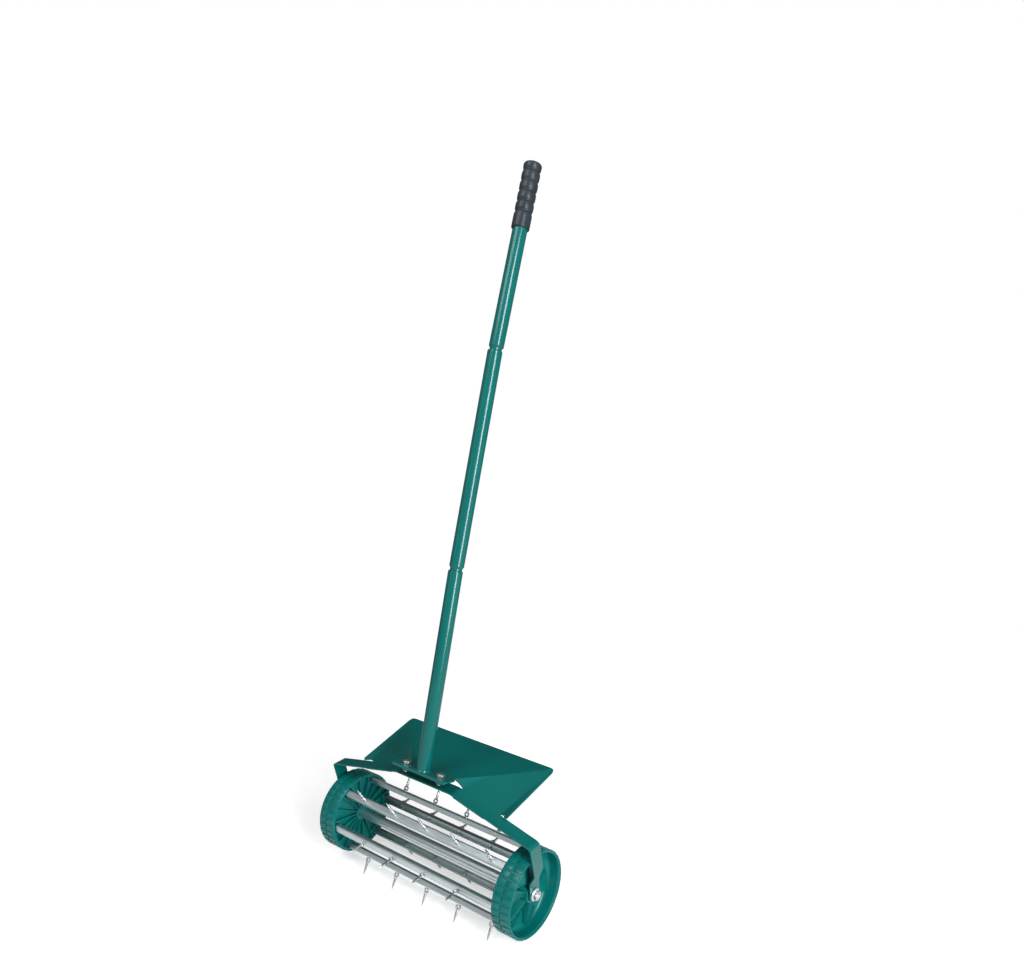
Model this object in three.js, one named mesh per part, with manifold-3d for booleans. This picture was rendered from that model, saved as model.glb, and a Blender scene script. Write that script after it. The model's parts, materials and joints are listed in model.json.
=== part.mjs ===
// Rolling spike aerator for lawns: a spiked roller between two wheels turns on an axle,
// a bent yoke with a fender carries the axle, and a handle of three sections pushes it.
// Millimetres. X runs along the axle, Y to the rear and Z up.

import * as THREE from 'three';
import { mergeVertices } from 'three/addons/utils/BufferGeometryUtils.js';
import Module from 'manifold-3d';

const wasm = await Module();
wasm.setup();

// Overall sizes
const handleLength = 1033;
const overallWidth = 457.2;
const wheelDiameter = 152.4;
const lowerLean = THREE.MathUtils.degToRad(15.65);
const middleLean = THREE.MathUtils.degToRad(17.08);
const upperLean = THREE.MathUtils.degToRad(19.22);

// Shared stock and fits
const sheet = 2.2;
const seatGap = 0.3;
const turningGap = 0.4;
const overrun = 3;

// Roller layout
const rowCount = 6;
const endSpikeClearance = 38.1;
const shiftRowOne = 0.5;
const shiftRowTwo = 8;
const shiftRowThree = 8;
const shiftRowFour = 1;
const shiftRowFive = 11.5;
const shiftRowSix = 4.5;
const wideRowSpikes = 5;
const narrowRowSpikes = 4;
const wheelWidth = 37.3;
const wheelSideGap = 4;

// Wheel
const treadDepth = 1.6;
const treadBlocks = 36;
const treadBlockFootShare = 0.78;
const treadBlockTopShare = 0.66;
const treadGroove = 3.4;
const treadEdge = 1.4;
const treadRoot = 1.5;
const rimWall = 4.4;
const rimLip = 2;
const rimStep = 1.2;
const rimStepDepth = 1.6;
const rimBevelDepth = 3.4;
const wheelWeb = 3;
const dishDepth = 26.4;
const hubRootRadius = 18;
const hubTipRadius = 16;
const innerHubRadius = 14;
const dishFillet = 6;
const toothCount = 6;
const toothPhase = THREE.MathUtils.degToRad(29);
const toothSpread = THREE.MathUtils.degToRad(34);
const toothCrestHalf = 1;
const toothDraft = 1;
const toothHubHeight = 16;
const toothRimHeight = 7;
const ribCount = 18;
const ribThickness = 2;
const ledgeThickness = 2;

// Bars between the wheels
const barWidth = 14;
const barWeb = 1.6;
const barFlange = 9.6;
const barBendRadius = 2.4;

// Spikes
const shankRadius = 2.5;
const headRadius = 4.8;
const headHeight = 2.5;
const eyeRadius = 5;
const eyeHoleRadius = 2.35;
const eyeThickness = 4;
const tineRadius = 2.4;
const tineLength = 23.83;
const tineShoulderRadius = 2.1;
const tineShoulderShare = 0.58;
const tinePointRadius = 0.35;

// Axle and its hardware
const axleRadius = 6;
const axleEndRadius = 5;
const axleChamfer = 0.8;
const axleEndInset = 0.7;
const spacerRadius = 9;
const spacerWall = 1.8;
const thrustWasher = 1.5;
const washerRadius = 11;
const nutFlangeRadius = 11;
const nutFlangeThickness = 2;
const nutAcrossFlats = 15;
const nutHeight = 7.6;

// Yoke strap and legs
const tipClearance = 38.9;
const strapFront = -29;
const strapRear = -2;
const strapSwell = 1.5;
const swellStart = 70;
const swellEnd = 135;
const swellRamp = 2;
const strapFlatHalf = 62;
const shoulderRise = 27.8;
const shoulderRadius = 8;
const legJoggle = 10.1;
const tabRadius = 13;
const tabTop = 25;
const creaseFrontY = -15;
const creaseFrontZ = 44;
const creaseRearY = 9;
const creaseRearZ = 52;

// Fender
const deckRise = 10.7;
const fenderRear = 131;
const fenderHalfWidth = 169.4;
const fenderCorner = 9;
const slitWidth = 2.4;
const innerSlitEnd = 66;
const joinStart = 68;
const joinEnd = 147;
const deckFrontHalf = 58;
const deckCornerDrop = 5.7;
const creaseKneeX = 93.5;
const creaseKneeY = 45.2;
const nearCornerX = 166;
const nearCornerY = -9;
const nearCornerCut = 3;
const nearCornerLift = 6.5;
const slitBendX = 154;
const slitBendLift = 2;

// Handle base plate
const footAhead = 24.2;
const plateLength = 124;
const plateDepth = 30;
const plateThickness = 3;
const plateCorner = 6;
const lipWidth = 2;
const tongueHalf = 48;
const beadWidth = 1.6;
const beadHeight = 2.2;
const beadTopShare = 0.3;
const spigotHeight = 28;
const spigotWall = 1.5;

// Base bolts
const boltSpacing = 77.4;
const boltRadius = 4;
const boltHoleRadius = 4.5;
const boltAcrossFlats = 13;
const boltHeadHeight = 5.3;
const boltNutHeight = 6.5;
const boltThreadEnd = 1.5;

// Handle sections and grip
const tubeRadius = 12.7;
const tubeWall = 1.2;
const lowerSectionShare = 0.3364;
const middleSectionShare = 0.3601;
const neckInsert = 40;
const neckShow = 4.5;
const neckEase = 3;
const tubeShoulder = 2;
const gripLength = 109;
const gripRadius = 15.5;
const gripEndWall = 4;
const gripEdge = 4;
const gripMouth = 2;
const gripGrooves = 5;
const gripSkirt = 27.5;
const gripGroovePitch = 17.1;
const gripGrooveWidth = 4;
const gripGrooveDepth = 1.1;

// Facet counts
const wheelFacets = 36;
const tubeFacets = 20;
const rodFacets = 16;
const smallFacets = 6;
const eyeFacets = 10;
const arcSteps = 4;
const tabArcSteps = 12;

// Places that follow from the sizes
const wheelRadius = wheelDiameter / 2;
const legFace = overallWidth / 2;
const wheelOuter = legFace - sheet - wheelSideGap;
const wheelInner = wheelOuter - wheelWidth;
const webOuter = wheelOuter - dishDepth;
const webInner = webOuter - wheelWeb;
const drumRadius = wheelRadius - treadDepth;
const rimInner = drumRadius - rimWall;
const tabOuter = legFace - legJoggle;
const tabInner = tabOuter - sheet;
const hubEnd = tabInner - thrustWasher - seatGap - seatGap;
const boreRadius = axleRadius + turningGap;
const barFace = Math.sqrt((rimInner - seatGap - seatGap) ** 2 - (barWidth / 2) ** 2);
const barEnd = webInner - seatGap;
const eyeCentre = barFace + seatGap + eyeRadius;
const tineRoot = eyeCentre + eyeRadius;
const tipRadius = tineRoot + tineLength;
const strapTop = tipRadius + tipClearance + sheet;
const shoulderTop = wheelRadius + shoulderRise;
const deckTop = strapTop + deckRise;
const foldY = strapRear + slitWidth;
const underPlate = plateThickness + seatGap;
const foldReach = (foldY + footAhead + underPlate * Math.sin(lowerLean)) / Math.cos(lowerLean);
const footHeight = deckTop + foldReach * Math.sin(lowerLean) + underPlate * Math.cos(lowerLean);
const tongueReach = plateDepth / 2 - lipWidth - seatGap;
const socketRadius = tubeRadius - tubeWall;
const spigotRadius = socketRadius - seatGap;
const jointTilt = Math.max(middleLean - lowerLean, upperLean - middleLean);
const neckRadius = spigotRadius - (Math.tan(jointTilt) * neckInsert) / 2;
const axleEnd = legFace - axleEndInset;
const spikePitch = ((wheelInner - endSpikeClearance) * 2) / (wideRowSpikes - 1);
const lowerSection = handleLength * lowerSectionShare;
const middleSection = handleLength * middleSectionShare;
const gripStart = handleLength - gripLength;
const rowShifts = [shiftRowOne, shiftRowTwo, shiftRowThree, shiftRowFour, shiftRowFive, shiftRowSix];

// Painted steel, plastic, galvanised steel, bright zinc and grip rubber
const teal = { color: 0x00766f, roughness: 0.38, metalness: 0.0 };
const tealPlastic = { color: 0x077b73, roughness: 0.32, metalness: 0.0 };
const galvanised = { color: 0xa9b3b6, roughness: 0.42, metalness: 0.9 };
const zinc = { color: 0xc8cdd0, roughness: 0.28, metalness: 0.95 };
const spikeSteel = { color: 0xb9c0c4, roughness: 0.3, metalness: 0.95 };
const rubber = { color: 0x3a4347, roughness: 0.7, metalness: 0.0 };

// A closed mesh as a solid that can be cut and joined
function solid(geometry) {
  const bare = geometry.clone();
  bare.deleteAttribute('normal');
  bare.deleteAttribute('uv');
  const merged = mergeVertices(bare);
  const position = merged.getAttribute('position');
  const index = merged.index.array;
  const triVerts = [];
  const corner = [new THREE.Vector3(), new THREE.Vector3(), new THREE.Vector3()];
  let volume = 0;
  for (let i = 0; i < index.length; i += 3) {
    const [a, b, c] = [index[i], index[i + 1], index[i + 2]];
    if (a === b || b === c || c === a) continue;
    triVerts.push(a, b, c);
    corner[0].fromBufferAttribute(position, a);
    corner[1].fromBufferAttribute(position, b);
    corner[2].fromBufferAttribute(position, c);
    volume += corner[0].dot(corner[1].cross(corner[2]));
  }
  if (volume < 0) triVerts.reverse();
  return new wasm.Manifold(new wasm.Mesh({
    numProp: 3,
    vertProperties: new Float32Array(position.array),
    triVerts: new Uint32Array(triVerts),
  }));
}

// A solid as a geometry for a mesh
function geometryOf(body) {
  const mesh = body.getMesh();
  const geometry = new THREE.BufferGeometry();
  geometry.setAttribute('position', new THREE.BufferAttribute(new Float32Array(mesh.vertProperties), 3));
  geometry.setIndex(Array.from(mesh.triVerts));
  geometry.computeVertexNormals();
  return geometry;
}

function piece(name, body, look) {
  const mesh = new THREE.Mesh(geometryOf(body), new THREE.MeshStandardMaterial(look));
  mesh.name = name;
  return mesh;
}

// A profile of radius and height pairs turned round Z
function turned(profile, facets) {
  const outline = profile.map(([radius, height]) => new THREE.Vector2(radius, height));
  return new THREE.LatheGeometry(outline, facets).rotateX(Math.PI / 2);
}

// Turns what stands along Z to lie along X
function alongX(geometry) {
  return geometry.rotateY(Math.PI / 2);
}

// A closed ring profile between two radii and two heights
function ringProfile(inner, outer, from, to) {
  return [[inner, from], [outer, from], [outer, to], [inner, to], [inner, from]];
}

function ring(inner, outer, from, to, facets) {
  return turned(ringProfile(inner, outer, from, to), facets);
}

function rod(radius, from, to, facets) {
  return turned([[0, from], [radius, from], [radius, to], [0, to]], facets);
}

// A six-sided prism along Z, its flats this far apart
function hexagon(acrossFlats, from, to) {
  return rod(acrossFlats / 2 / Math.cos(Math.PI / 6), from, to, 6);
}

// A flat outline made into a prism from one height to another
function prism(shape, from, to) {
  const depth = to - from;
  const extruded = new THREE.ExtrudeGeometry(shape, { depth, bevelEnabled: false, curveSegments: arcSteps });
  return extruded.translate(0, 0, from);
}

// Turns a prism whose outline holds Y and Z places to lie along X
function sectionAlongX(geometry) {
  const turn = new THREE.Matrix4().makeBasis(
    new THREE.Vector3(0, 1, 0), new THREE.Vector3(0, 0, 1), new THREE.Vector3(1, 0, 0));
  return geometry.applyMatrix4(turn);
}

function box(x0, x1, y0, y1, z0, z1) {
  return new THREE.BoxGeometry(x1 - x0, y1 - y0, z1 - z0)
    .translate((x0 + x1) / 2, (y0 + y1) / 2, (z0 + z1) / 2);
}

// A block with four corners below and the four corners above them
function block(corners) {
  const geometry = new THREE.BufferGeometry().setFromPoints(corners.map((c) => new THREE.Vector3(...c)));
  geometry.setIndex([
    0, 2, 1, 0, 3, 2, 4, 5, 6, 4, 6, 7, 0, 1, 5, 0, 5, 4,
    1, 2, 6, 1, 6, 5, 2, 3, 7, 2, 7, 6, 3, 0, 4, 3, 4, 7]);
  return geometry;
}

// A round-cornered rectangle
function roundedRectangle(width, depth, radius) {
  const [w, d] = [width / 2, depth / 2];
  const shape = new THREE.Shape();
  shape.moveTo(radius - w, -d);
  shape.lineTo(w - radius, -d);
  shape.absarc(w - radius, radius - d, radius, -Math.PI / 2, 0, false);
  shape.absarc(w - radius, d - radius, radius, 0, Math.PI / 2, false);
  shape.absarc(radius - w, d - radius, radius, Math.PI / 2, Math.PI, false);
  shape.absarc(radius - w, radius - d, radius, Math.PI, Math.PI * 1.5, false);
  return shape;
}

// The mean direction that a flat or nearly flat facet faces
function facetNormal(points, facet) {
  const sum = new THREE.Vector3();
  facet.forEach((corner, k) => {
    sum.add(points[corner].clone().cross(points[facet[(k + 1) % facet.length]]));
  });
  return sum.normalize();
}

// A sheet folded from flat facets: each corner moves in until it is one thickness below its facets
function foldedSheet(points, facets, thickness) {
  const steadyShare = 0.001;
  const normals = facets.map((facet) => facetNormal(points, facet));
  const below = points.map((point, i) => {
    const terms = new Array(9).fill(0);
    const pull = new THREE.Vector3();
    normals.filter((normal, k) => facets[k].includes(i)).forEach((normal) => {
      const n = normal.toArray();
      n.forEach((a, row) => n.forEach((b, column) => { terms[row * 3 + column] += a * b; }));
      pull.addScaledVector(normal, -thickness);
    });
    [0, 4, 8].forEach((k) => { terms[k] += steadyShare; });
    return pull.applyMatrix3(new THREE.Matrix3().set(...terms).invert()).add(point);
  });
  const n = points.length;
  const index = [];
  const used = new Set(facets.flatMap((f) => f.map((a, k) => `${a} ${f[(k + 1) % f.length]}`)));
  facets.forEach((f) => {
    for (let k = 1; k < f.length - 1; k += 1) {
      index.push(f[0], f[k], f[k + 1], f[0] + n, f[k + 1] + n, f[k] + n);
    }
    f.forEach((a, k) => {
      const b = f[(k + 1) % f.length];
      if (!used.has(`${b} ${a}`)) index.push(a, a + n, b + n, a, b + n, b);
    });
  });
  return new THREE.BufferGeometry().setFromPoints([...points, ...below]).setIndex(index);
}

// Height of the strap's top face at a distance from the middle
function strapHeight(x) {
  const slope = (strapTop - shoulderTop) / (legFace - strapFlatHalf);
  return strapTop - Math.max(0, x - strapFlatHalf) * slope;
}

// The strap's cross lines from the middle to the shoulder, each with its front and rear end
function strapStations() {
  const front = (x) => (x >= swellStart + swellRamp && x <= swellEnd ? strapFront - strapSwell : strapFront);
  const flat = [0, strapFlatHalf, joinStart, swellStart, swellStart + swellRamp,
    swellEnd, swellEnd + swellRamp, joinEnd];
  return flat.map((x) => [[x, front(x), strapHeight(x)], [x, strapRear, strapHeight(x)]]);
}

// The shoulder bend and the leg down to its crease
function legStations() {
  const fall = Math.atan2(strapTop - shoulderTop, legFace - strapFlatHalf);
  const bendX = legFace - shoulderRadius;
  const bendZ = strapHeight(bendX) - shoulderRadius / Math.cos(fall);
  const share = (z, end) => Math.max(0, (shoulderTop - z) / (shoulderTop - end));
  const narrow = (z, from, to, end) => from + (to - from) * share(z, end);
  const stations = [];
  for (let k = 0; k <= arcSteps; k += 1) {
    const turn = (Math.PI / 2 - fall) * (1 - k / arcSteps);
    const x = bendX + shoulderRadius * Math.cos(turn);
    const z = bendZ + shoulderRadius * Math.sin(turn);
    stations.push([
      [x, narrow(z, strapFront, creaseFrontY, creaseFrontZ), z],
      [x, narrow(z, strapRear, creaseRearY, creaseRearZ), z]]);
  }
  stations.push([[legFace, creaseFrontY, creaseFrontZ], [legFace, creaseRearY, creaseRearZ]]);
  stations.push([[tabOuter, -tabRadius, tabTop], [tabOuter, tabRadius, tabTop]]);
  return stations;
}

// The rounded end of the leg, from the front round the axle to the rear
function tabOutline() {
  const outline = [];
  for (let k = 0; k <= tabArcSteps; k += 1) {
    const turn = Math.PI + (Math.PI * k) / tabArcSteps;
    outline.push([tabOuter, tabRadius * Math.cos(turn), tabRadius * Math.sin(turn)]);
  }
  return outline;
}

// Height of the fender's side panel, which rises from the strap to the far corner
function sideHeight(x, y) {
  const rise = (deckTop - strapHeight(fenderHalfWidth)) / (fenderRear - strapRear);
  return strapHeight(x) + (y - strapRear) * rise;
}

// A point of the sloping seat under the handle plate, this far behind the handle's axis
function seatPoint(x, reach) {
  const y = reach * Math.cos(lowerLean) - underPlate * Math.sin(lowerLean) - footAhead;
  const z = footHeight - reach * Math.sin(lowerLean) - underPlate * Math.cos(lowerLean);
  return [x, y, z];
}

// Corner places of the fender's right half
function fenderPlaces() {
  const cut = fenderCorner * (1 - Math.SQRT1_2);
  const farX = fenderHalfWidth;
  const nearZ = strapHeight(nearCornerX) + nearCornerLift;
  const edgeRise = (deckTop - nearZ) / (fenderRear - nearCornerY);
  return {
    slitInner: [innerSlitEnd, foldY, sideHeight(innerSlitEnd, foldY)],
    slitOuter: [joinEnd + slitWidth, foldY, sideHeight(joinEnd + slitWidth, foldY)],
    slitBend: [slitBendX, foldY, sideHeight(slitBendX, foldY) + slitBendLift],
    nearFront: [nearCornerX - nearCornerCut, nearCornerY, nearZ],
    nearSide: [nearCornerX, nearCornerY + nearCornerCut, nearZ + nearCornerCut * edgeRise],
    farSide: [farX, fenderRear - fenderCorner, deckTop - fenderCorner * edgeRise],
    farCorner: [farX - cut, fenderRear - cut, deckTop],
    farRear: [farX - fenderCorner, fenderRear, deckTop],
    farMiddle: [0, fenderRear, deckTop],
    deckCorner: [deckFrontHalf, foldY, deckTop - deckCornerDrop],
    creaseKnee: [creaseKneeX, creaseKneeY, deckTop],
    tongueRoot: [tongueHalf + slitWidth, foldY, deckTop],
    foldMiddle: [0, foldY, deckTop],
    tongueCorner: seatPoint(tongueHalf, -tongueReach),
    tongueMiddle: seatPoint(0, -tongueReach),
  };
}

// The yoke and fender as one folded sheet, both halves
function yokeFenderSheet() {
  const places = fenderPlaces();
  const stations = [...strapStations(), ...legStations()];
  stations.forEach(([front, rear], k) => {
    places[`front${k}`] = front;
    places[`rear${k}`] = rear;
  });
  const tab = tabOutline();
  tab.forEach((place, k) => { places[`tab${k}`] = place; });
  const last = stations.length - 1;
  const joined = strapStations().length - 1;
  const rearFrom = strapStations().findIndex(([front]) => front[0] === joinStart);
  const joinLine = [];
  for (let k = rearFrom; k <= joined; k += 1) joinLine.push(`rear${k}`);
  const half = [];
  for (let k = 0; k < last; k += 1) half.push([`front${k}`, `front${k + 1}`, `rear${k + 1}`, `rear${k}`]);
  half.push([`front${last}`, ...tab.map((place, k) => `tab${k}`), `rear${last}`]);
  half.push(['creaseKnee', 'slitInner', ...joinLine]);
  half.push(['farCorner', 'creaseKnee', `rear${joined}`, 'slitOuter']);
  const edge = ['slitOuter', 'slitBend', 'nearFront', 'nearSide', 'farSide'];
  for (let k = 0; k < edge.length - 1; k += 1) half.push(['farCorner', edge[k], edge[k + 1]]);
  half.push(['slitInner', 'creaseKnee', 'deckCorner']);
  half.push(['tongueRoot', 'deckCorner', 'creaseKnee']);
  half.push(['foldMiddle', 'tongueRoot', 'creaseKnee', 'farCorner', 'farRear', 'farMiddle']);
  half.push(['tongueMiddle', 'tongueCorner', 'tongueRoot', 'foldMiddle']);
  const points = [];
  const rightOf = {};
  const leftOf = {};
  Object.entries(places).forEach(([name, [x, y, z]]) => {
    rightOf[name] = points.push(new THREE.Vector3(x, y, z)) - 1;
    leftOf[name] = x === 0 ? rightOf[name] : points.push(new THREE.Vector3(-x, y, z)) - 1;
  });
  const facets = half.flatMap((f) => [f.map((a) => rightOf[a]), f.map((a) => leftOf[a]).reverse()]);
  return foldedSheet(points, facets, sheet);
}

// Moves a geometry from the handle's frame to the axle's frame
function fromHandleFrame(geometry) {
  return geometry.rotateX(-lowerLean).translate(0, -footAhead, footHeight);
}

function yokeFender() {
  let body = solid(yokeFenderSheet());
  const axleHole = alongX(rod(axleEndRadius + seatGap, -legFace, legFace, rodFacets));
  body = body.subtract(solid(axleHole));
  [-1, 1].forEach((side) => {
    const hole = rod(boltHoleRadius, -underPlate - sheet - overrun, overrun, rodFacets);
    body = body.subtract(solid(fromHandleFrame(hole.translate((side * boltSpacing) / 2, 0, 0))));
  });
  return piece('yoke_fender', body, teal);
}

// The handle's foot: plate with a front lip, weld bead and spigot, in the handle's frame
function handleBase() {
  const front = -plateDepth / 2;
  const section = new THREE.Shape();
  section.moveTo(front, -plateThickness - sheet);
  section.lineTo(front + lipWidth, -plateThickness - sheet);
  section.lineTo(front + lipWidth, -plateThickness);
  section.lineTo(plateDepth / 2, -plateThickness);
  section.lineTo(plateDepth / 2, 0);
  section.lineTo(front, 0);
  const bent = sectionAlongX(prism(section, -plateLength / 2, plateLength / 2));
  const outline = roundedRectangle(plateLength, plateDepth, plateCorner);
  const trimmed = prism(outline, -plateThickness - sheet - overrun, overrun);
  let body = solid(bent).intersect(solid(trimmed));
  const inner = tubeRadius + seatGap;
  const sunk = -plateThickness / 2;
  const bead = turned([
    [inner, sunk], [inner + beadWidth, sunk], [inner + beadWidth, 0],
    [inner + beadWidth * beadTopShare, beadHeight], [inner, beadHeight], [inner, sunk]], tubeFacets);
  body = body.add(solid(bead));
  body = body.add(solid(ring(spigotRadius - spigotWall, spigotRadius, sunk, spigotHeight, tubeFacets)));
  [-1, 1].forEach((side) => {
    const hole = rod(boltHoleRadius, -plateThickness - overrun, overrun, rodFacets);
    body = body.subtract(solid(hole.translate((side * boltSpacing) / 2, 0, 0)));
  });
  return piece('handle_base', body, teal);
}

// The rounded top of a handle section that takes the next neck
function socketTop(top) {
  const [mid, low] = [tubeRadius - tubeWall / 4, top - tubeShoulder / 4];
  const lip = tubeRadius - tubeWall / 2;
  return [[tubeRadius, top - tubeShoulder], [mid, low], [lip, top], [socketRadius, top]];
}

function handleLower() {
  const profile = [
    [socketRadius, seatGap], [tubeRadius, seatGap], ...socketTop(lowerSection), [socketRadius, seatGap]];
  return piece('handle_lower', solid(turned(profile, tubeFacets)), teal);
}

// A handle section whose reduced neck goes down into the section below
function neckedSection(name, joint, top, hasSocket) {
  const bore = neckRadius - tubeWall;
  const neckTop = joint + neckShow;
  const end = hasSocket ? socketTop(top) : [[tubeRadius, top], [socketRadius, top]];
  const profile = [
    [bore, joint - neckInsert], [neckRadius, joint - neckInsert], [neckRadius, neckTop],
    [tubeRadius, neckTop + neckEase], ...end,
    [socketRadius, neckTop + neckEase + tubeWall], [bore, neckTop + tubeWall], [bore, joint - neckInsert]];
  return piece(name, solid(turned(profile, tubeFacets)), teal);
}

function grip() {
  const inner = tubeRadius + seatGap;
  const profile = [[0, handleLength - gripEndWall], [inner, handleLength - gripEndWall], [inner, gripStart],
    [gripRadius - gripMouth, gripStart], [gripRadius, gripStart + gripMouth]];
  for (let k = 0; k < gripGrooves; k += 1) {
    const middle = gripStart + gripSkirt + k * gripGroovePitch;
    const floor = gripRadius - gripGrooveDepth;
    profile.push(
      [gripRadius, middle - gripGrooveWidth / 2], [floor, middle - gripGrooveWidth / 4],
      [floor, middle + gripGrooveWidth / 4], [gripRadius, middle + gripGrooveWidth / 2]);
  }
  for (let k = 0; k <= arcSteps; k += 1) {
    const turn = ((Math.PI / 2) * k) / arcSteps;
    const radius = gripRadius - gripEdge + gripEdge * Math.cos(turn);
    profile.push([radius, handleLength - gripEdge + gripEdge * Math.sin(turn)]);
  }
  profile.push([0, handleLength]);
  return piece('handle_grip', solid(turned(profile, tubeFacets)), rubber);
}

function baseBolt(name, x) {
  const end = -underPlate - sheet - boltNutHeight - boltThreadEnd - seatGap;
  const shank = rod(boltRadius, end, seatGap + boltHeadHeight / 2, rodFacets);
  const body = solid(hexagon(boltAcrossFlats, seatGap, seatGap + boltHeadHeight)).add(solid(shank));
  const bolt = piece(name, body, zinc);
  bolt.position.x = x;
  return bolt;
}

function baseNut(name, x) {
  const top = -underPlate - sheet - seatGap;
  const bore = rod(boltRadius + seatGap, top - boltNutHeight - overrun, top + overrun, rodFacets);
  const body = solid(hexagon(boltAcrossFlats, top - boltNutHeight, top)).subtract(solid(bore));
  const nut = piece(name, body, zinc);
  nut.position.x = x;
  return nut;
}

function axleRod() {
  const shoulder = tabInner - seatGap;
  const half = [[axleRadius, shoulder], [axleEndRadius, shoulder], [axleEndRadius, axleEnd - axleChamfer],
    [axleEndRadius - axleChamfer, axleEnd], [0, axleEnd]];
  const other = half.map(([radius, x]) => [radius, -x]).reverse();
  return piece('axle_rod', solid(alongX(turned([...other, ...half], tubeFacets))), zinc);
}

function hubNut(name) {
  const seat = tabOuter + seatGap;
  const flange = rod(nutFlangeRadius, seat, seat + nutFlangeThickness, tubeFacets);
  const body = solid(alongX(flange)).add(solid(alongX(hexagon(nutAcrossFlats, seat, seat + nutHeight))));
  const bore = rod(axleEndRadius + seatGap, seat - overrun, seat + nutHeight + overrun, rodFacets);
  return piece(name, body.subtract(solid(alongX(bore))), zinc);
}

function thrustRing(name) {
  const from = hubEnd + seatGap;
  const flat = ring(boreRadius, washerRadius, from, from + thrustWasher, tubeFacets);
  return piece(name, solid(alongX(flat)), zinc);
}

function spacerTube() {
  const end = wheelInner - seatGap;
  const tube = ring(spacerRadius - spacerWall, spacerRadius, -end, end, tubeFacets);
  return piece('spacer_tube', solid(alongX(tube)), galvanised);
}

// The turned body of a wheel: hub, web, dish and rim
function wheelBody() {
  const lip = drumRadius - rimLip;
  const profile = [
    [boreRadius, wheelInner], [innerHubRadius, wheelInner], [innerHubRadius, webInner], [rimInner, webInner],
    [rimInner, wheelInner], [drumRadius, wheelInner], [drumRadius, wheelOuter], [lip, wheelOuter],
    [lip, wheelOuter - rimStepDepth], [lip - rimStep, wheelOuter - rimStepDepth],
    [rimInner, wheelOuter - rimStepDepth - rimBevelDepth], [rimInner, webOuter + dishFillet],
    [rimInner - dishFillet, webOuter], [hubRootRadius, webOuter],
    [hubTipRadius, hubEnd], [boreRadius, hubEnd], [boreRadius, wheelInner]];
  return solid(alongX(turned(profile, wheelFacets)));
}

function onCircle(radius, angle) {
  return new THREE.Vector2(radius * Math.cos(angle), radius * Math.sin(angle));
}

// One row of tread blocks round the rim
function treadRow(from, to) {
  const root = drumRadius - treadRoot;
  const pitch = (Math.PI * 2) / treadBlocks;
  const foot = (pitch * treadBlockFootShare) / 2;
  const top = (pitch * treadBlockTopShare) / 2;
  const outline = [];
  const inside = [];
  for (let k = 0; k < treadBlocks; k += 1) {
    [[root, -foot], [wheelRadius, -top], [wheelRadius, top], [root, foot]].forEach(([radius, turn]) => {
      outline.push(onCircle(radius, pitch * k + turn));
    });
    inside.push(onCircle((rimInner + root) / 2, pitch * k));
  }
  const shape = new THREE.Shape(outline);
  shape.holes.push(new THREE.Path(inside));
  return solid(sectionAlongX(prism(shape, from, to)));
}

// One tooth of the star in the dish: its crest falls from hub to rim, steep on one side of it
function wheelTooth(angle) {
  const sunk = webOuter - wheelWeb / 2;
  const low = webOuter + toothRimHeight;
  const high = webOuter + toothHubHeight;
  const root = (boreRadius + hubTipRadius) / 2;
  const reach = drumRadius - rimLip / 2;
  const rootSpread = (Math.PI * 2) / toothCount;
  const foot = toothCrestHalf + toothDraft;
  const tooth = block([
    [sunk, -root * Math.sin(rootSpread), root * Math.cos(rootSpread)], [sunk, foot, root],
    [sunk, foot, reach], [sunk, -reach * Math.sin(toothSpread), reach * Math.cos(toothSpread)],
    [high, -toothCrestHalf, root], [high, toothCrestHalf, root],
    [low, toothCrestHalf, reach], [low, -toothCrestHalf, reach]]);
  return solid(tooth.rotateX(angle));
}

// Thin ribs behind the web, and a ledge between two of them under each bar end
function wheelBack(body) {
  const reach = (rimInner + drumRadius) / 2;
  const root = (boreRadius + innerHubRadius) / 2;
  const sunk = webInner + wheelWeb / 2;
  const ribStep = (Math.PI * 2) / ribCount;
  const ledgeTop = barFace - barFlange - seatGap;
  const ledgeHalf = ledgeTop * Math.tan(ribStep / 2);
  const pocketHalf = barWidth / 2 + seatGap;
  let result = body;
  for (let k = 0; k < ribCount; k += 1) {
    const rib = box(wheelInner, sunk, -ribThickness / 2, ribThickness / 2, root, reach);
    result = result.add(solid(rib.rotateX(ribStep * (k + 0.5) + Math.PI / 2)));
  }
  for (let k = 0; k < rowCount; k += 1) {
    const turn = ((Math.PI * 2) / rowCount) * k + Math.PI / 2;
    const ledge = box(wheelInner, sunk, -ledgeHalf, ledgeHalf, ledgeTop - ledgeThickness, ledgeTop);
    const pocket = box(wheelInner - overrun, webInner, -pocketHalf, pocketHalf, ledgeTop, barFace);
    result = result.add(solid(ledge.rotateX(turn))).subtract(solid(pocket.rotateX(turn)));
  }
  return result;
}

function wheelSolid() {
  const middle = (wheelInner + wheelOuter) / 2;
  let body = wheelBody();
  body = body.add(treadRow(wheelInner + treadEdge, middle - treadGroove / 2));
  body = body.add(treadRow(middle + treadGroove / 2, wheelOuter - treadEdge));
  for (let k = 0; k < toothCount; k += 1) {
    body = body.add(wheelTooth(toothPhase - Math.PI / 2 + (Math.PI * 2 * k) / toothCount));
  }
  const bore = alongX(rod(boreRadius, wheelInner - overrun, wheelOuter + overrun, wheelFacets));
  return wheelBack(body).subtract(solid(bore));
}

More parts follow.
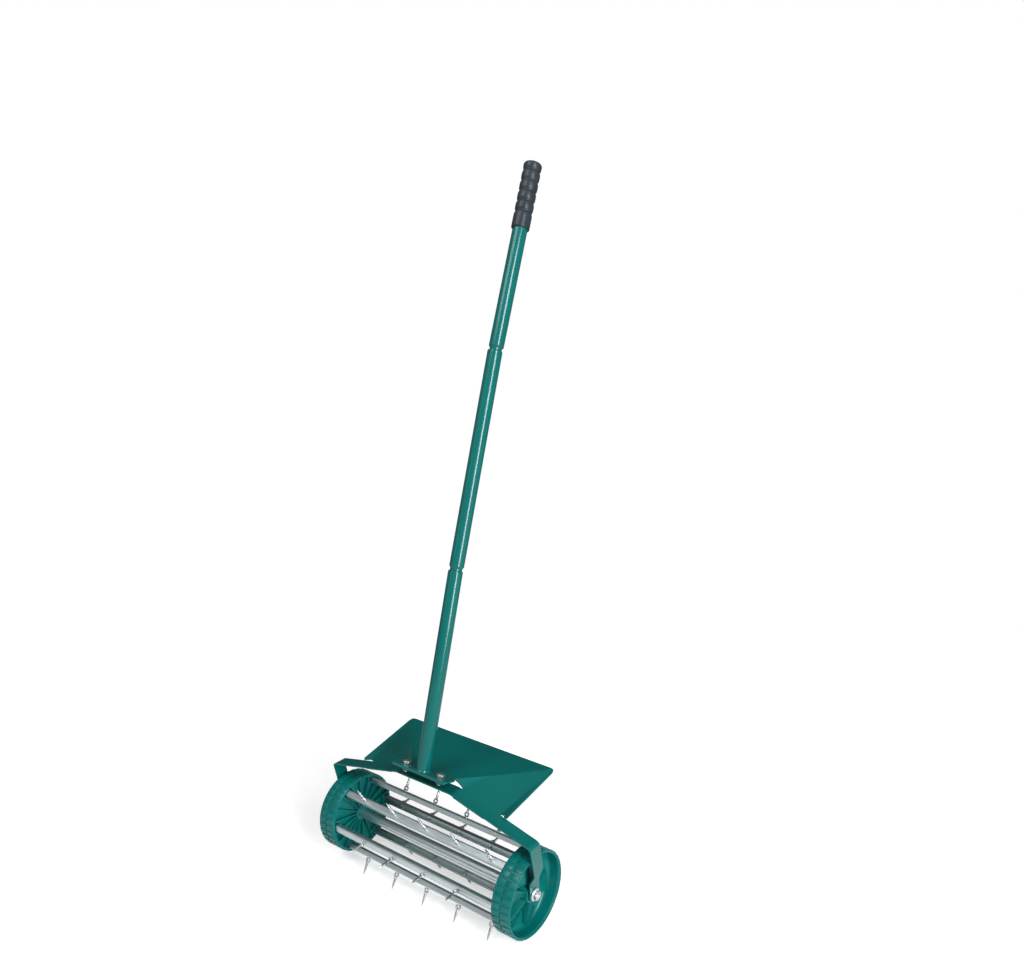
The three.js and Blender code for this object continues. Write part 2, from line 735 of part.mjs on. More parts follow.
// The bar's channel section: a flat face outward and two flanges turned in
function barSection() {
  const half = barWidth / 2;
  const inner = half - barWeb;
  const bend = barBendRadius;
  const bendInner = bend - barWeb;
  const low = barFace - barFlange;
  const easeShare = 1 - Math.SQRT1_2;
  const ease = bend * easeShare;
  const easeInner = bendInner * easeShare;
  const floor = barFace - barWeb;
  const right = [[half, low], [half, barFace - bend], [half - ease, barFace - ease], [half - bend, barFace]];
  const rightInner = [
    [half - bend, floor], [inner - easeInner, floor - easeInner], [inner, barFace - bend], [inner, low]];
  const mirror = (list) => list.map(([y, z]) => [-y, z]).reverse();
  const outline = [...right, ...mirror(right), ...mirror(rightInner), ...rightInner];
  return new THREE.Shape(outline.map(([y, z]) => new THREE.Vector2(y, z)));
}

// A bar that lies above the axle, with a hole for each spike
function spikeBar(name, places) {
  let body = solid(sectionAlongX(prism(barSection(), -barEnd, barEnd)));
  places.forEach((x) => {
    const hole = rod(shankRadius + seatGap, barFace - barFlange, barFace + overrun, smallFacets);
    body = body.subtract(solid(hole.translate(x, 0, 0)));
  });
  return piece(name, body, galvanised);
}

// A spike: rivet head inside the bar, shank through it, an eye and a pointed tine
function spikeSolid() {
  const headTop = barFace - barWeb - seatGap;
  const head = rod(headRadius, headTop - headHeight, headTop, smallFacets + smallFacets / 2);
  const shankTop = eyeCentre - eyeHoleRadius - shankRadius / 4;
  const shank = rod(shankRadius, headTop - headHeight / 2, shankTop, smallFacets);
  const tineFrom = eyeCentre + (eyeHoleRadius + eyeRadius) / 2;
  const tine = turned([
    [0, tineFrom], [tineRadius, tineFrom],
    [tineShoulderRadius, tineRoot + tineLength * tineShoulderShare],
    [tinePointRadius, tipRadius - tinePointRadius], [0, tipRadius]], smallFacets);
  const eye = ring(eyeHoleRadius, eyeRadius, -eyeThickness / 2, eyeThickness / 2, eyeFacets);
  eye.rotateX(Math.PI / 2).translate(0, 0, eyeCentre);
  return solid(head).add(solid(shank)).add(solid(eye)).add(solid(tine));
}

// Spike places along one row
function rowPlaces(row) {
  const count = row % 2 === 0 ? wideRowSpikes : narrowRowSpikes;
  const shift = rowShifts[row];
  return Array.from({ length: count }, (unused, k) => (k - (count - 1) / 2) * spikePitch + shift);
}

function roller() {
  const group = new THREE.Group();
  const wheel = wheelSolid();
  const right = piece('wheel_right', wheel, tealPlastic);
  const left = piece('wheel_left', wheel, tealPlastic);
  left.rotation.z = Math.PI;
  group.add(right, left, spacerTube());
  const spike = spikeSolid();
  for (let row = 0; row < rowCount; row += 1) {
    const spoke = new THREE.Group();
    spoke.rotation.x = ((Math.PI * 2) / rowCount) * row - Math.PI / 2;
    const places = rowPlaces(row);
    spoke.add(spikeBar(`spike_bar_${row + 1}`, places));
    places.forEach((x, k) => {
      const mesh = piece(`spike_${row + 1}_${k + 1}`, spike, spikeSteel);
      mesh.position.x = x;
      spoke.add(mesh);
    });
    group.add(spoke);
  }
  return group;
}

// Hardware on both ends of the axle
function axleHardware() {
  const group = new THREE.Group();
  const nutRight = hubNut('hub_nut_right');
  const nutLeft = hubNut('hub_nut_left');
  nutLeft.rotation.z = Math.PI;
  const washerRight = thrustRing('thrust_washer_right');
  const washerLeft = thrustRing('thrust_washer_left');
  washerLeft.rotation.z = Math.PI;
  group.add(axleRod(), nutRight, nutLeft, washerRight, washerLeft);
  return group;
}

// Sections that lean a little more than the one below, about the middle of the neck between them
function leanFrom(joint, tilt, pieces) {
  const pivot = joint - neckInsert / 2;
  const shifted = new THREE.Group();
  shifted.add(...pieces);
  shifted.position.z = -pivot;
  const leaning = new THREE.Group();
  leaning.add(shifted);
  leaning.rotation.x = -tilt;
  leaning.position.z = pivot;
  return leaning;
}

// The leaning handle with its plate and bolts
function handle() {
  const group = new THREE.Group();
  const secondJoint = lowerSection + middleSection;
  const upper = neckedSection('handle_upper', secondJoint, handleLength - gripEndWall - seatGap, false);
  const aboveSecond = leanFrom(secondJoint, upperLean - middleLean, [upper, grip()]);
  const middleTube = neckedSection('handle_middle', lowerSection, secondJoint, true);
  const aboveFirst = leanFrom(lowerSection, middleLean - lowerLean, [middleTube, aboveSecond]);
  group.add(
    handleBase(),
    handleLower(),
    aboveFirst,
    baseBolt('base_bolt_right', boltSpacing / 2),
    baseBolt('base_bolt_left', -boltSpacing / 2),
    baseNut('base_nut_right', boltSpacing / 2),
    baseNut('base_nut_left', -boltSpacing / 2));
  group.rotation.x = -lowerLean;
  group.position.set(0, -footAhead, footHeight);
  return group;
}

const aerator = new THREE.Group();
const model = new THREE.Group();
model.add(yokeFender(), handle(), axleHardware(), roller());
aerator.add(model);

// The origin goes to the middle of the box's floor
aerator.updateMatrixWorld(true);
const bounds = new THREE.Box3().setFromObject(aerator, true);
const middle = bounds.getCenter(new THREE.Vector3());
model.position.set(-middle.x, -middle.y, -bounds.min.z);

export default aerator;
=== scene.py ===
# %% [markdown]
# # A rolling spike aerator, dressed for its portrait
# The tool is a roller of six steel bars set with spikes, between two plastic wheels, under a painted
# yoke with a wide fender, and pushed by a handle in three sections. The solids of every piece are
# loaded first as a fixed frame, so each new piece goes exactly where its solid stands.

# %% Load the frame
import json
import math
import bmesh
import bpy
import numpy as np
from mathutils import Matrix, Vector


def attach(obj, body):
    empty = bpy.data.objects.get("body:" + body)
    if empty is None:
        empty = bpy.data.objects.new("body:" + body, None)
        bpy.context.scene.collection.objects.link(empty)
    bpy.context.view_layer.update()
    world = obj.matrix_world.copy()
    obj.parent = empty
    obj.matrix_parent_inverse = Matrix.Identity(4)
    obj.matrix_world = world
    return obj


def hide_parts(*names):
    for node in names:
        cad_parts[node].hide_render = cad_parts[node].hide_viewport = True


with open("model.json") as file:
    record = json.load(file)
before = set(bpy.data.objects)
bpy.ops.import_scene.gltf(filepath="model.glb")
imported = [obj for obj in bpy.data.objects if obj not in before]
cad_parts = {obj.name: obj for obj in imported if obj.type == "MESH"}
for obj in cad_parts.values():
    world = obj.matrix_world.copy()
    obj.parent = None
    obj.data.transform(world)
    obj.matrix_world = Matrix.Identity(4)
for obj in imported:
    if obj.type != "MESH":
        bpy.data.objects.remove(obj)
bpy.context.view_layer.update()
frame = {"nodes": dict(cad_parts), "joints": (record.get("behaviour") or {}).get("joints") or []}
mm = 0.001
axle = Vector(frame["joints"][0]["pos_m"])
print("solids:", len(frame["nodes"]), "axle at", [round(v, 4) for v in axle])


def linked(name, data):
    """An object made from its data and linked into the scene."""
    thing = bpy.data.objects.new(name, data)
    bpy.context.scene.collection.objects.link(thing)
    return thing


# %% [markdown]
# ## The camera
# The photograph was taken from the tool's front right, a metre above the floor, with the camera
# turned down by 17 degrees. The lens and the small shift come from fitting one camera to the widths
# that the picture states, so a piece in its true place also falls on its place in the picture.

# %% Camera
CAMERA_FROM_AXLE = Vector((872.1, -958.6, 882.3)) * mm
CAMERA_LOOKS = Vector((-0.5805, 0.7604, -0.2913)).normalized()
SENSOR_WIDTH, LENS = 36.0, 29.16
SHIFT_X, SHIFT_Y = 0.0149, 0.0988
FARTHEST = 100.0
camera_data = bpy.data.cameras.new("portrait_camera")
camera_data.sensor_fit = "HORIZONTAL"
camera_data.sensor_width = SENSOR_WIDTH
camera_data.lens = LENS
camera_data.shift_x, camera_data.shift_y = SHIFT_X, SHIFT_Y
camera_data.clip_end = FARTHEST
camera = linked("portrait_camera", camera_data)
camera.location = axle + CAMERA_FROM_AXLE
camera.rotation_euler = CAMERA_LOOKS.to_track_quat("-Z", "Y").to_euler()
bpy.context.scene.camera = camera
print("camera stands", round(CAMERA_FROM_AXLE.length, 3), "m from the axle")

# %% [markdown]
# ## Small helpers for meshes
# Every finished piece is an object at the origin with its place in its mesh, as the solids are. A
# piece is shaded smooth, and an edge turns sharp where its faces meet steeply, because real sheet
# and moulded pieces have flat faces with crisp but rounded edges.

# %% Mesh helpers
MERGE_WITHIN = 0.002 * mm


def finish_mesh(name, made, material, sharp=35.0):
    """A bmesh as a linked object with one material, smooth but for its steep edges."""
    mesh = bpy.data.meshes.new(name)
    made.to_mesh(mesh)
    made.free()
    mesh.materials.append(material)
    mesh.polygons.foreach_set("use_smooth", [True] * len(mesh.polygons))
    mesh.set_sharp_from_angle(angle=math.radians(sharp))
    return linked(name, mesh)


def merged_solid(node_name):
    """A merged copy of a solid's mesh, as a bmesh."""
    made = bmesh.new()
    made.from_mesh(frame["nodes"][node_name].data)
    bmesh.ops.remove_doubles(made, verts=made.verts, dist=MERGE_WITHIN)
    return made


def place(thing, body, slot, *nodes):
    """Hang a piece on the body that it rides on and hide the solids that it stands for. The slot is not
    used.
    """
    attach(thing, body)
    if nodes:
        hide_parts(*nodes)
    return thing


def reach_of(node_name, origin, direction):
    """How far a solid reaches along a line, from an origin."""
    made = merged_solid(node_name)
    along = [(v.co - origin).dot(direction) for v in made.verts]
    made.free()
    return min(along), max(along)


def joined(parts):
    """Several bmeshes joined into one."""
    whole = bmesh.new()
    for part in parts:
        spare = bpy.data.meshes.new("spare")
        part.to_mesh(spare)
        part.free()
        whole.from_mesh(spare)
        bpy.data.meshes.remove(spare)
    return whole


def in_metres(outline):
    """An outline in millimetres as one in metres."""
    return [(radius * mm, height * mm) for radius, height in outline]


def frame_along(direction, origin):
    """A matrix that turns +Z into a direction and moves the zero to an origin."""
    turn = Vector(direction).normalized().to_track_quat("Z", "Y").to_matrix().to_4x4()
    return Matrix.Translation(Vector(origin)) @ turn


print("helpers ready")

# %% [markdown]
# ## Turned pieces
# Tubes, the grip, the axle and the washers are round. Each solid is a turned outline with only a few
# facets. Smooth shading would hide the facets but not the angular rims. So the outline is read back
# from the solid, its corners get a small radius, as a cutter or a die leaves them, and it is turned
# again with many more facets.

# %% Turned pieces
ON_LINE = 0.01 * mm
ON_SEAM = 0.02 * mm
NEARLY_STRAIGHT = math.radians(172)
SHARE_OF_SIDE = 0.45


def bridge(made, low, high):
    """Faces between two rings of points. Where a ring is one point, they are triangles."""
    for k in range(len(low)):
        n = (k + 1) % len(low)
        corners = list(dict.fromkeys([low[k], low[n], high[n], high[k]]))
        if len(corners) > 2:
            made.faces.new(corners)


def centre_line(node_name, direction=None):
    """A point on a round solid's own line, and the line's direction."""
    made = merged_solid(node_name)
    points = np.array([v.co[:] for v in made.verts])
    made.free()
    middle = points.mean(0)
    if direction is None:
        direction = np.linalg.svd(points - middle)[2][0]
        direction = direction * np.sign(direction[2])
    return Vector(middle), Vector(direction).normalized()


def outline_of(node_name, matrix):
    """The (radius, height) outline of a turned solid, walked round one of its seams."""
    made = merged_solid(node_name)
    made.transform(matrix.inverted())
    widest = max(made.verts, key=lambda v: v.co.xy.length)
    seam = math.atan2(widest.co.y, widest.co.x)
    kept = {}
    for v in made.verts:
        radius = v.co.xy.length
        apart = math.remainder(math.atan2(v.co.y, v.co.x) - seam, math.tau)
        if radius < ON_LINE or abs(apart) * radius < ON_SEAM:
            kept[v] = (radius if radius > ON_LINE else 0.0, v.co.z)
    links = {v: [e.other_vert(v) for e in v.link_edges if e.other_vert(v) in kept] for v in kept}
    start = next((v for v in kept if kept[v][0] == 0.0), widest)
    walk, before, here = [kept[start]], None, start
    while True:
        ahead = [v for v in links[here] if v is not before and not (kept[v][0] == kept[here][0] == 0.0)]
        if not ahead or ahead[0] is start:
            break
        before, here = here, ahead[0]
        walk.append(kept[here])
    made.free()
    return walk, start is widest


def rounded(outline, closed, radius, steps=4):
    """An outline with each corner replaced by a small arc."""
    result, count = [], len(outline)
    for k, corner in enumerate(outline):
        if not closed and k in (0, count - 1):
            result.append(corner)
            continue
        here = Vector(corner)
        back = Vector(outline[k - 1]) - here
        ahead = Vector(outline[(k + 1) % count]) - here
        if back.angle(ahead, math.pi) > NEARLY_STRAIGHT:
            result.append(corner)
            continue
        reach = min(radius, back.length * SHARE_OF_SIDE, ahead.length * SHARE_OF_SIDE)
        first, last = here + back.normalized() * reach, here + ahead.normalized() * reach
        for s in range(steps + 1):
            t = s / steps
            point = first * (1 - t) ** 2 + here * (2 * t * (1 - t)) + last * t ** 2
            result.append((max(point.x, 0.0), point.y))
    return result


def turn_outline(outline, closed, matrix, facets):
    """A bmesh turned from a (radius, height) outline about a matrix's own Z."""
    made, rings = bmesh.new(), []
    for radius, height in outline:
        if radius == 0.0:
            rings.append([made.verts.new((0, 0, height))] * facets)
            continue
        turns = (math.tau * k / facets for k in range(facets))
        rings.append([made.verts.new((radius * math.cos(a), radius * math.sin(a), height)) for a in turns])
    pairs = list(zip(rings, rings[1:])) + ([(rings[-1], rings[0])] if closed else [])
    for low, high in pairs:
        bridge(made, low, high)
    bmesh.ops.recalc_face_normals(made, faces=made.faces)
    made.transform(matrix)
    return made


def turned_again(node_name, material, facets, radius, direction=None):
    """A round solid turned again with many facets and softened corners."""
    middle, line = centre_line(node_name, direction)
    matrix = frame_along(line, middle)
    outline, closed = outline_of(node_name, matrix)
    made = turn_outline(rounded(outline, closed, radius), closed, matrix, facets)
    thing = finish_mesh(node_name + "_turned", made, material)
    print(node_name, "outline points", len(outline), "->", len(thing.data.polygons), "faces")
    return thing


print("turning helpers ready")

# %% [markdown]
# ## Shader groups that the finishes share
# Three effects come back in several finishes: a soft mottle of tone, a fine grain that lifts or dents
# the surface, and scuffs where a surface has been handled. Each is a group with its own named inputs,
# so that every finish uses it at its own scale. The groups give out only values that vary.

# %% Shader groups
def shader_group(name, inputs, outputs):
    """An empty shader group with named sockets."""
    group = bpy.data.node_groups.new(name, "ShaderNodeTree")
    for label, kind, value in inputs:
        socket = group.interface.new_socket(name=label, in_out="INPUT", socket_type=kind)
        if value is not None:
            socket.default_value = value
    for label, kind in outputs:
        group.interface.new_socket(name=label, in_out="OUTPUT", socket_type=kind)
    return group, group.nodes.new("NodeGroupInput"), group.nodes.new("NodeGroupOutput")


def node(tree, kind, links=(), values=(), **settings):
    """A node with its settings, its plain input values and the links that feed it."""
    made = tree.nodes.new(kind)
    for key, value in settings.items():
        setattr(made, key, value)
    for key, value in dict(values).items():
        made.inputs[key].default_value = value
    for target, source in links:
        tree.links.new(source, made.inputs[target])
    return made


def placed_noise(group, start, values):
    """A noise that takes its place and its scale from a group's own inputs."""
    feeds = [(label, start.outputs[source]) for label, source in (("Vector", "Place"), ("Scale", "Scale"))]
    return node(group, "ShaderNodeTexNoise", feeds, values).outputs["Fac"]


FLOAT, VECTOR = "NodeSocketFloat", "NodeSocketVector"

mottle, start, end = shader_group("soft mottle", [
    ("Place", VECTOR, None), ("Scale", FLOAT, 30.0), ("Dark", FLOAT, 0.9), ("Light", FLOAT, 1.1)],
    [("Tone", FLOAT)])
cloud = placed_noise(mottle, start, {"Detail": 4.0})
spread = node(mottle, "ShaderNodeMapRange", [
    ("Value", cloud), ("To Min", start.outputs["Dark"]), ("To Max", start.outputs["Light"])],
    {"From Min": 0.3, "From Max": 0.7})
mottle.links.new(spread.outputs["Result"], end.inputs["Tone"])

grain, start, end = shader_group("fine grain", [
    ("Place", VECTOR, None), ("Scale", FLOAT, 900.0), ("Depth", FLOAT, 1.0)],
    [("Height", FLOAT)])
fine = placed_noise(grain, start, {"Detail": 2.0})
lift = node(grain, "ShaderNodeMath", [(0, fine), (1, start.outputs["Depth"])], operation="MULTIPLY")
grain.links.new(lift.outputs["Value"], end.inputs["Height"])

scuffs, start, end = shader_group("light scuffs", [
    ("Place", VECTOR, None), ("Scale", FLOAT, 60.0), ("Amount", FLOAT, 0.5)],
    [("Mask", FLOAT)])
streak = placed_noise(scuffs, start, {"Detail": 8.0, "Roughness": 0.75})
thin = node(scuffs, "ShaderNodeMapRange", [
    ("Value", streak), ("To Max", start.outputs["Amount"])],
    {"From Min": 0.6, "From Max": 0.72})
scuffs.links.new(thin.outputs["Result"], end.inputs["Mask"])
print("groups:", [g.name for g in bpy.data.node_groups])

# %% [markdown]
# ## The finishes
# The yoke, the fender and the handle tubes have a smooth teal powder paint: glossy, with the faint
# waves that baked powder leaves. The wheels are moulded in a plastic of the same teal. The bars are
# zinc-dipped strip with pale crystals in it and long rolling lines. Bolts, hub nuts, washers and axle
# are bright zinc plate, and the spike wire has a smoother plate of its own. The nuts under the foot
# get a dark grey plate, which is painted shade for the sheet's shadow that they sit in. The grip is dark
# slate rubber. Each finish reads object coordinates, so its pattern stays in the piece when the roller
# turns.

# %% Finish helpers
def new_material(name, colour, roughness, metallic=0.0):
    """A material with its shader, its object coordinates and the plain values on the shader."""
    made = bpy.data.materials.new(name)
    made.use_nodes = True
    tree = made.node_tree
    shader = tree.nodes["Principled BSDF"]
    shader.inputs["Base Color"].default_value = (*colour, 1.0)
    shader.inputs["Roughness"].default_value = roughness
    shader.inputs["Metallic"].default_value = metallic
    made.diffuse_color = (*colour, 1.0)
    return made, tree, shader, tree.nodes.new("ShaderNodeTexCoord").outputs["Object"]


def use_group(tree, group, place_from, **values):
    """A shared group placed in a material with its own values."""
    made = tree.nodes.new("ShaderNodeGroup")
    made.node_tree = group
    tree.links.new(place_from, made.inputs["Place"])
    for key, value in values.items():
        made.inputs[key].default_value = value
    return made.outputs[0]


def stretched(tree, place_from, scale):
    """Coordinates scaled apart, for a pattern drawn out along one direction."""
    return node(tree, "ShaderNodeMapping", [("Vector", place_from)], {"Scale": scale}).outputs["Vector"]


def toned(tree, shader, colour, tone):
    """A base colour that is one colour multiplied by a varying tone."""
    scale = node(tree, "ShaderNodeVectorMath", [("Scale", tone)], {0: colour}, operation="SCALE")
    tree.links.new(scale.outputs["Vector"], shader.inputs["Base Color"])


def scuffed(tree, shader, place_from, base, **values):
    """A roughness that rises from its base where the surface is scuffed."""
    rubbed = use_group(tree, scuffs, place_from, **values)
    uneven = node(tree, "ShaderNodeMath", [(0, rubbed)], {1: base}, operation="ADD")
    tree.links.new(uneven.outputs["Value"], shader.inputs["Roughness"])


def bumped(tree, shader, heights, distance, strength):
    """The sum of some heights as a bump on the shader's normal."""
    total = heights[0]
    for height in heights[1:]:
        total = node(tree, "ShaderNodeMath", [(0, total), (1, height)], operation="ADD").outputs["Value"]
    bump = node(tree, "ShaderNodeBump", [("Height", total)], {"Strength": strength, "Distance": distance})
    tree.links.new(bump.outputs["Normal"], shader.inputs["Normal"])


def varied(tree, value, low, high, first=0.0, last=1.0, how="LINEAR"):
    """A value that runs from first to last, spread between two ends."""
    ends = {"From Min": first, "From Max": last, "To Min": low, "To Max": high}
    spread = node(tree, "ShaderNodeMapRange", [("Value", value)], ends, interpolation_type=how)
    return spread.outputs["Result"]


print("finish helpers ready")

# %% [markdown]
# The powder is sprayed on dry and baked until it flows. That leaves a glossy coat of almost one tone,
# with shallow waves and a fine speck. Both could be modelled, but they are far thinner than a pixel,
# so they are bumps.

# %% Teal powder paint
TEAL = (0.0008, 0.116, 0.107)
teal_paint, tree, shader, place_from = new_material("teal powder paint", TEAL, 0.2)
shader.inputs["Specular IOR Level"].default_value = 0.42
toned(tree, shader, TEAL, use_group(tree, mottle, place_from, Scale=9.0, Dark=0.93, Light=1.05))
scuffed(tree, shader, place_from, 0.17, Scale=42.0, Amount=0.1)
waves = use_group(tree, grain, place_from, Scale=320.0, Depth=1.0)
speck = use_group(tree, grain, place_from, Scale=1800.0, Depth=0.35)
bumped(tree, shader, [waves, speck], 0.012 * mm, 0.4)
print("paint", teal_paint.name)

# %% [markdown]
# The wheels come from a steel mould with a lightly blasted face, so the plastic is less glossy than the
# paint. A fine skin and a wide, faint flow of the melt are laid over one another as bumps.

# %% Moulded teal plastic
PLASTIC = (0.0008, 0.145, 0.135)
teal_plastic, tree, shader, place_from = new_material("moulded teal plastic", PLASTIC, 0.3)
shader.inputs["Specular IOR Level"].default_value = 0.3
toned(tree, shader, PLASTIC, use_group(tree, mottle, place_from, Scale=22.0, Dark=0.9, Light=1.06))
scuffed(tree, shader, place_from, 0.27, Scale=70.0, Amount=0.12)
skin = use_group(tree, grain, place_from, Scale=1300.0, Depth=0.6)
flow = use_group(tree, grain, place_from, Scale=70.0, Depth=1.6)
bumped(tree, shader, [skin, flow], 0.05 * mm, 0.5)
print("plastic", teal_plastic.name)

# %% [markdown]
# Zinc-dipped strip shows crystals a few millimetres wide. A picture of them would need a flat layout of
# each bar, so a cell pattern in space gives each crystal its own tone and gloss, and a noise drawn out
# along the bar adds the rolling lines under them.

# %% Zinc-dipped strip
STRIP = (0.66, 0.74, 0.76)
galvanised, tree, shader, place_from = new_material("zinc-dipped strip", STRIP, 0.34, metallic=1.0)
wide = stretched(tree, place_from, (0.55, 1.0, 1.0))
cells = node(tree, "ShaderNodeTexVoronoi", [("Vector", wide)], {"Scale": 210.0})
crystal = node(tree, "ShaderNodeSeparateColor", [("Color", cells.outputs["Color"])]).outputs["Red"]
long = stretched(tree, place_from, (0.06, 1.0, 1.0))
lines = use_group(tree, mottle, long, Scale=420.0, Dark=0.93, Light=1.03)
pale = varied(tree, crystal, 0.97, 1.03)
tone = node(tree, "ShaderNodeMath", [(0, pale), (1, lines)], operation="MULTIPLY")
toned(tree, shader, STRIP, tone.outputs["Value"])
tree.links.new(varied(tree, crystal, 0.33, 0.37), shader.inputs["Roughness"])
drawn = use_group(tree, grain, stretched(tree, place_from, (0.05, 1.0, 1.0)), Scale=900.0, Depth=1.0)
bumped(tree, shader, [drawn], 0.003 * mm, 0.4)
print("strip", galvanised.name)

# %% [markdown]
# Small steel pieces get their zinc in a bath with current, in a turning drum. It is thin, pale and a
# little cloudy. One grey for all would look like plastic, so tone and gloss both vary softly.

# %% Bright zinc plate
ZINC = (0.86, 0.88, 0.89)
bright_zinc, tree, shader, place_from = new_material("bright zinc plate", ZINC, 0.36, metallic=1.0)
toned(tree, shader, ZINC, use_group(tree, mottle, place_from, Scale=160.0, Dark=0.8, Light=1.08))
cloudy = use_group(tree, mottle, place_from, Scale=90.0, Dark=0.3, Light=0.44)
tree.links.new(cloudy, shader.inputs["Roughness"])
bumped(tree, shader, [use_group(tree, grain, place_from, Scale=1500.0, Depth=1.0)], 0.04 * mm, 0.5)
print("plate", bright_zinc.name)

# %% [markdown]
# The spikes are made of drawn wire, which is smooth before it is plated. Their plate is a little greyer
# and glossier than the bolts', with a finer grain.

# %% Plated spike wire
SPIKE = (0.66, 0.69, 0.71)
spike_zinc, tree, shader, place_from = new_material("plated spike wire", SPIKE, 0.3, metallic=1.0)
toned(tree, shader, SPIKE, use_group(tree, mottle, place_from, Scale=120.0, Dark=0.86, Light=1.08))
cloudy = use_group(tree, mottle, place_from, Scale=200.0, Dark=0.24, Light=0.34)
tree.links.new(cloudy, shader.inputs["Roughness"])
bumped(tree, shader, [use_group(tree, grain, place_from, Scale=2200.0, Depth=1.0)], 0.01 * mm, 0.5)
print("wire", spike_zinc.name)

# %% [markdown]
# The nuts under the foot sit in the sheet's shadow, where the photograph shows nothing bright. Their
# plate is painted a dark grey that stands in for that shade, with a rougher gloss.

# %% Zinc plate painted dark for shade
# A dark grey in place of the zinc's own tone: painted shade for the nuts under the sheet.
SHADE_PAINTED_GREY = (0.16, 0.17, 0.17)
shade_painted_zinc, tree, shader, place_from = new_material("zinc plate painted dark for shade", SHADE_PAINTED_GREY, 0.45, metallic=1.0)
toned(tree, shader, SHADE_PAINTED_GREY, use_group(tree, mottle, place_from, Scale=140.0, Dark=0.8, Light=1.15))
bumped(tree, shader, [use_group(tree, grain, place_from, Scale=1500.0, Depth=1.0)], 0.04 * mm, 0.5)
print("shade-painted plate", shade_painted_zinc.name)

# %% [markdown]
# The grip's rubber is dark blue-grey and soft. It has a weak gloss on the swells, a thin pale sheen
# at its edges and a fine moulded grain, so it reads as rubber beside the glossy paint.

# %% Slate rubber
RUBBER = (0.021, 0.030, 0.038)
rubber, tree, shader, place_from = new_material("slate rubber", RUBBER, 0.4)
shader.inputs["Specular IOR Level"].default_value = 0.3
shader.inputs["Sheen Weight"].default_value = 0.05
shader.inputs["Sheen Roughness"].default_value = 0.4
toned(tree, shader, RUBBER, use_group(tree, mottle, place_from, Scale=60.0, Dark=0.85, Light=1.2))
scuffed(tree, shader, place_from, 0.36, Scale=90.0, Amount=0.08)
bumped(tree, shader, [use_group(tree, grain, place_from, Scale=1100.0, Depth=1.0)], 0.03 * mm, 0.5)
print("rubber", rubber.name)

# %% [markdown]
# ## Sheet pieces
# The yoke with its fender, the handle's plate and the bars are cut and folded from sheet. The solid has
# knife-sharp edges, which no real sheet has. A merged copy of it gets its flat triangles joined to whole
# faces, and then every steep edge a narrow bevel, so the light draws a thin line along each edge. The
# fender's shallow folds are pressed softly, so they stay smooth and only the shading shows them.

# %% Sheet pieces
FLAT_WITHIN = math.radians(0.6)


def softened(node_name, material, width, steep=18.0, sharp=28.0):
    """A merged copy of a solid with a narrow bevel on each steep edge."""
    made = merged_solid(node_name)
    bmesh.ops.dissolve_limit(made, angle_limit=FLAT_WITHIN, verts=made.verts, edges=made.edges)
    shared = [e for e in made.edges if len(e.link_faces) == 2]
    edges = [e for e in shared if e.calc_face_angle(0.0) > math.radians(steep)]
    bmesh.ops.bevel(
        made, geom=edges, offset=width, offset_type="OFFSET", segments=2, profile=0.5,
        affect="EDGES", clamp_overlap=True, harden_normals=False)
    bmesh.ops.triangulate(made, faces=[f for f in made.faces if len(f.verts) > 4])
    thing = finish_mesh(node_name + "_soft", made, material, sharp)
    weigh = thing.modifiers.new("even shading", "WEIGHTED_NORMAL")
    weigh.keep_sharp = True
    print(node_name, "bevelled edges", len(edges), "faces", len(thing.data.polygons))
    return thing


BARS = 6
yoke = softened("yoke_fender", teal_paint, 0.45 * mm, steep=42.0, sharp=50.0)
place(yoke, "frame", "teal_paint", "yoke_fender")
place(softened("handle_base", teal_paint, 0.3 * mm), "frame", "teal_paint", "handle_base")
for row in range(1, BARS + 1):
    bar = f"spike_bar_{row}"
    place(softened(bar, galvanised, 0.3 * mm), "roller", "galvanised_steel", bar)

# %% [markdown]
# ## Handle tubes and round steel
# The three handle sections are drawn tube, swaged to a neck at the lower end. They are turned again
# from their solids, and so are the centre tube, the axle and the two thrust washers.

# %% Handle tubes and round steel
for tube in ("handle_lower", "handle_middle", "handle_upper"):
    place(turned_again(tube, teal_paint, 96, 0.6 * mm), "frame", "teal_paint", tube)
ACROSS = (1, 0, 0)
spacer = turned_again("spacer_tube", galvanised, 72, 0.3 * mm, ACROSS)
place(spacer, "roller", "galvanised_steel", "spacer_tube")
place(turned_again("axle_rod", bright_zinc, 64, 0.4 * mm, ACROSS), "frame", "zinc_hardware", "axle_rod")
for side in ("right", "left"):
    washer = f"thrust_washer_{side}"
    place(turned_again(washer, bright_zinc, 64, 0.2 * mm, ACROSS), "frame", "zinc_hardware", washer)

# %% [markdown]
# ## The grip
# The grip is one moulding, pushed over the tube's end. Five narrow grooves part it into a longer skirt
# at the bottom and five swells, and its flat end has a large radius. Rings cut into a cylinder would
# leave hard lines. The outline is one wavy line here, made from the grooves' places, because the swells
# are what the light shows most.

# %% Grip
GRIP_RADIUS = 15.5 * mm
GRIP_GROOVES = [27.5, 44.6, 61.7, 78.8, 95.9]
GROOVE_DEPTH = 1.5 * mm
GROOVE_REACH = 3.4 * mm
SWELL, SWELL_REACH = 0.35 * mm, 8.5 * mm
END_RADIUS = 4 * mm
MOUTH = [(0.0, 3.0), (13.1, 3.0), (13.1, 0.4), (13.6, 0.0), (14.6, 0.1), (15.2, 0.8)]


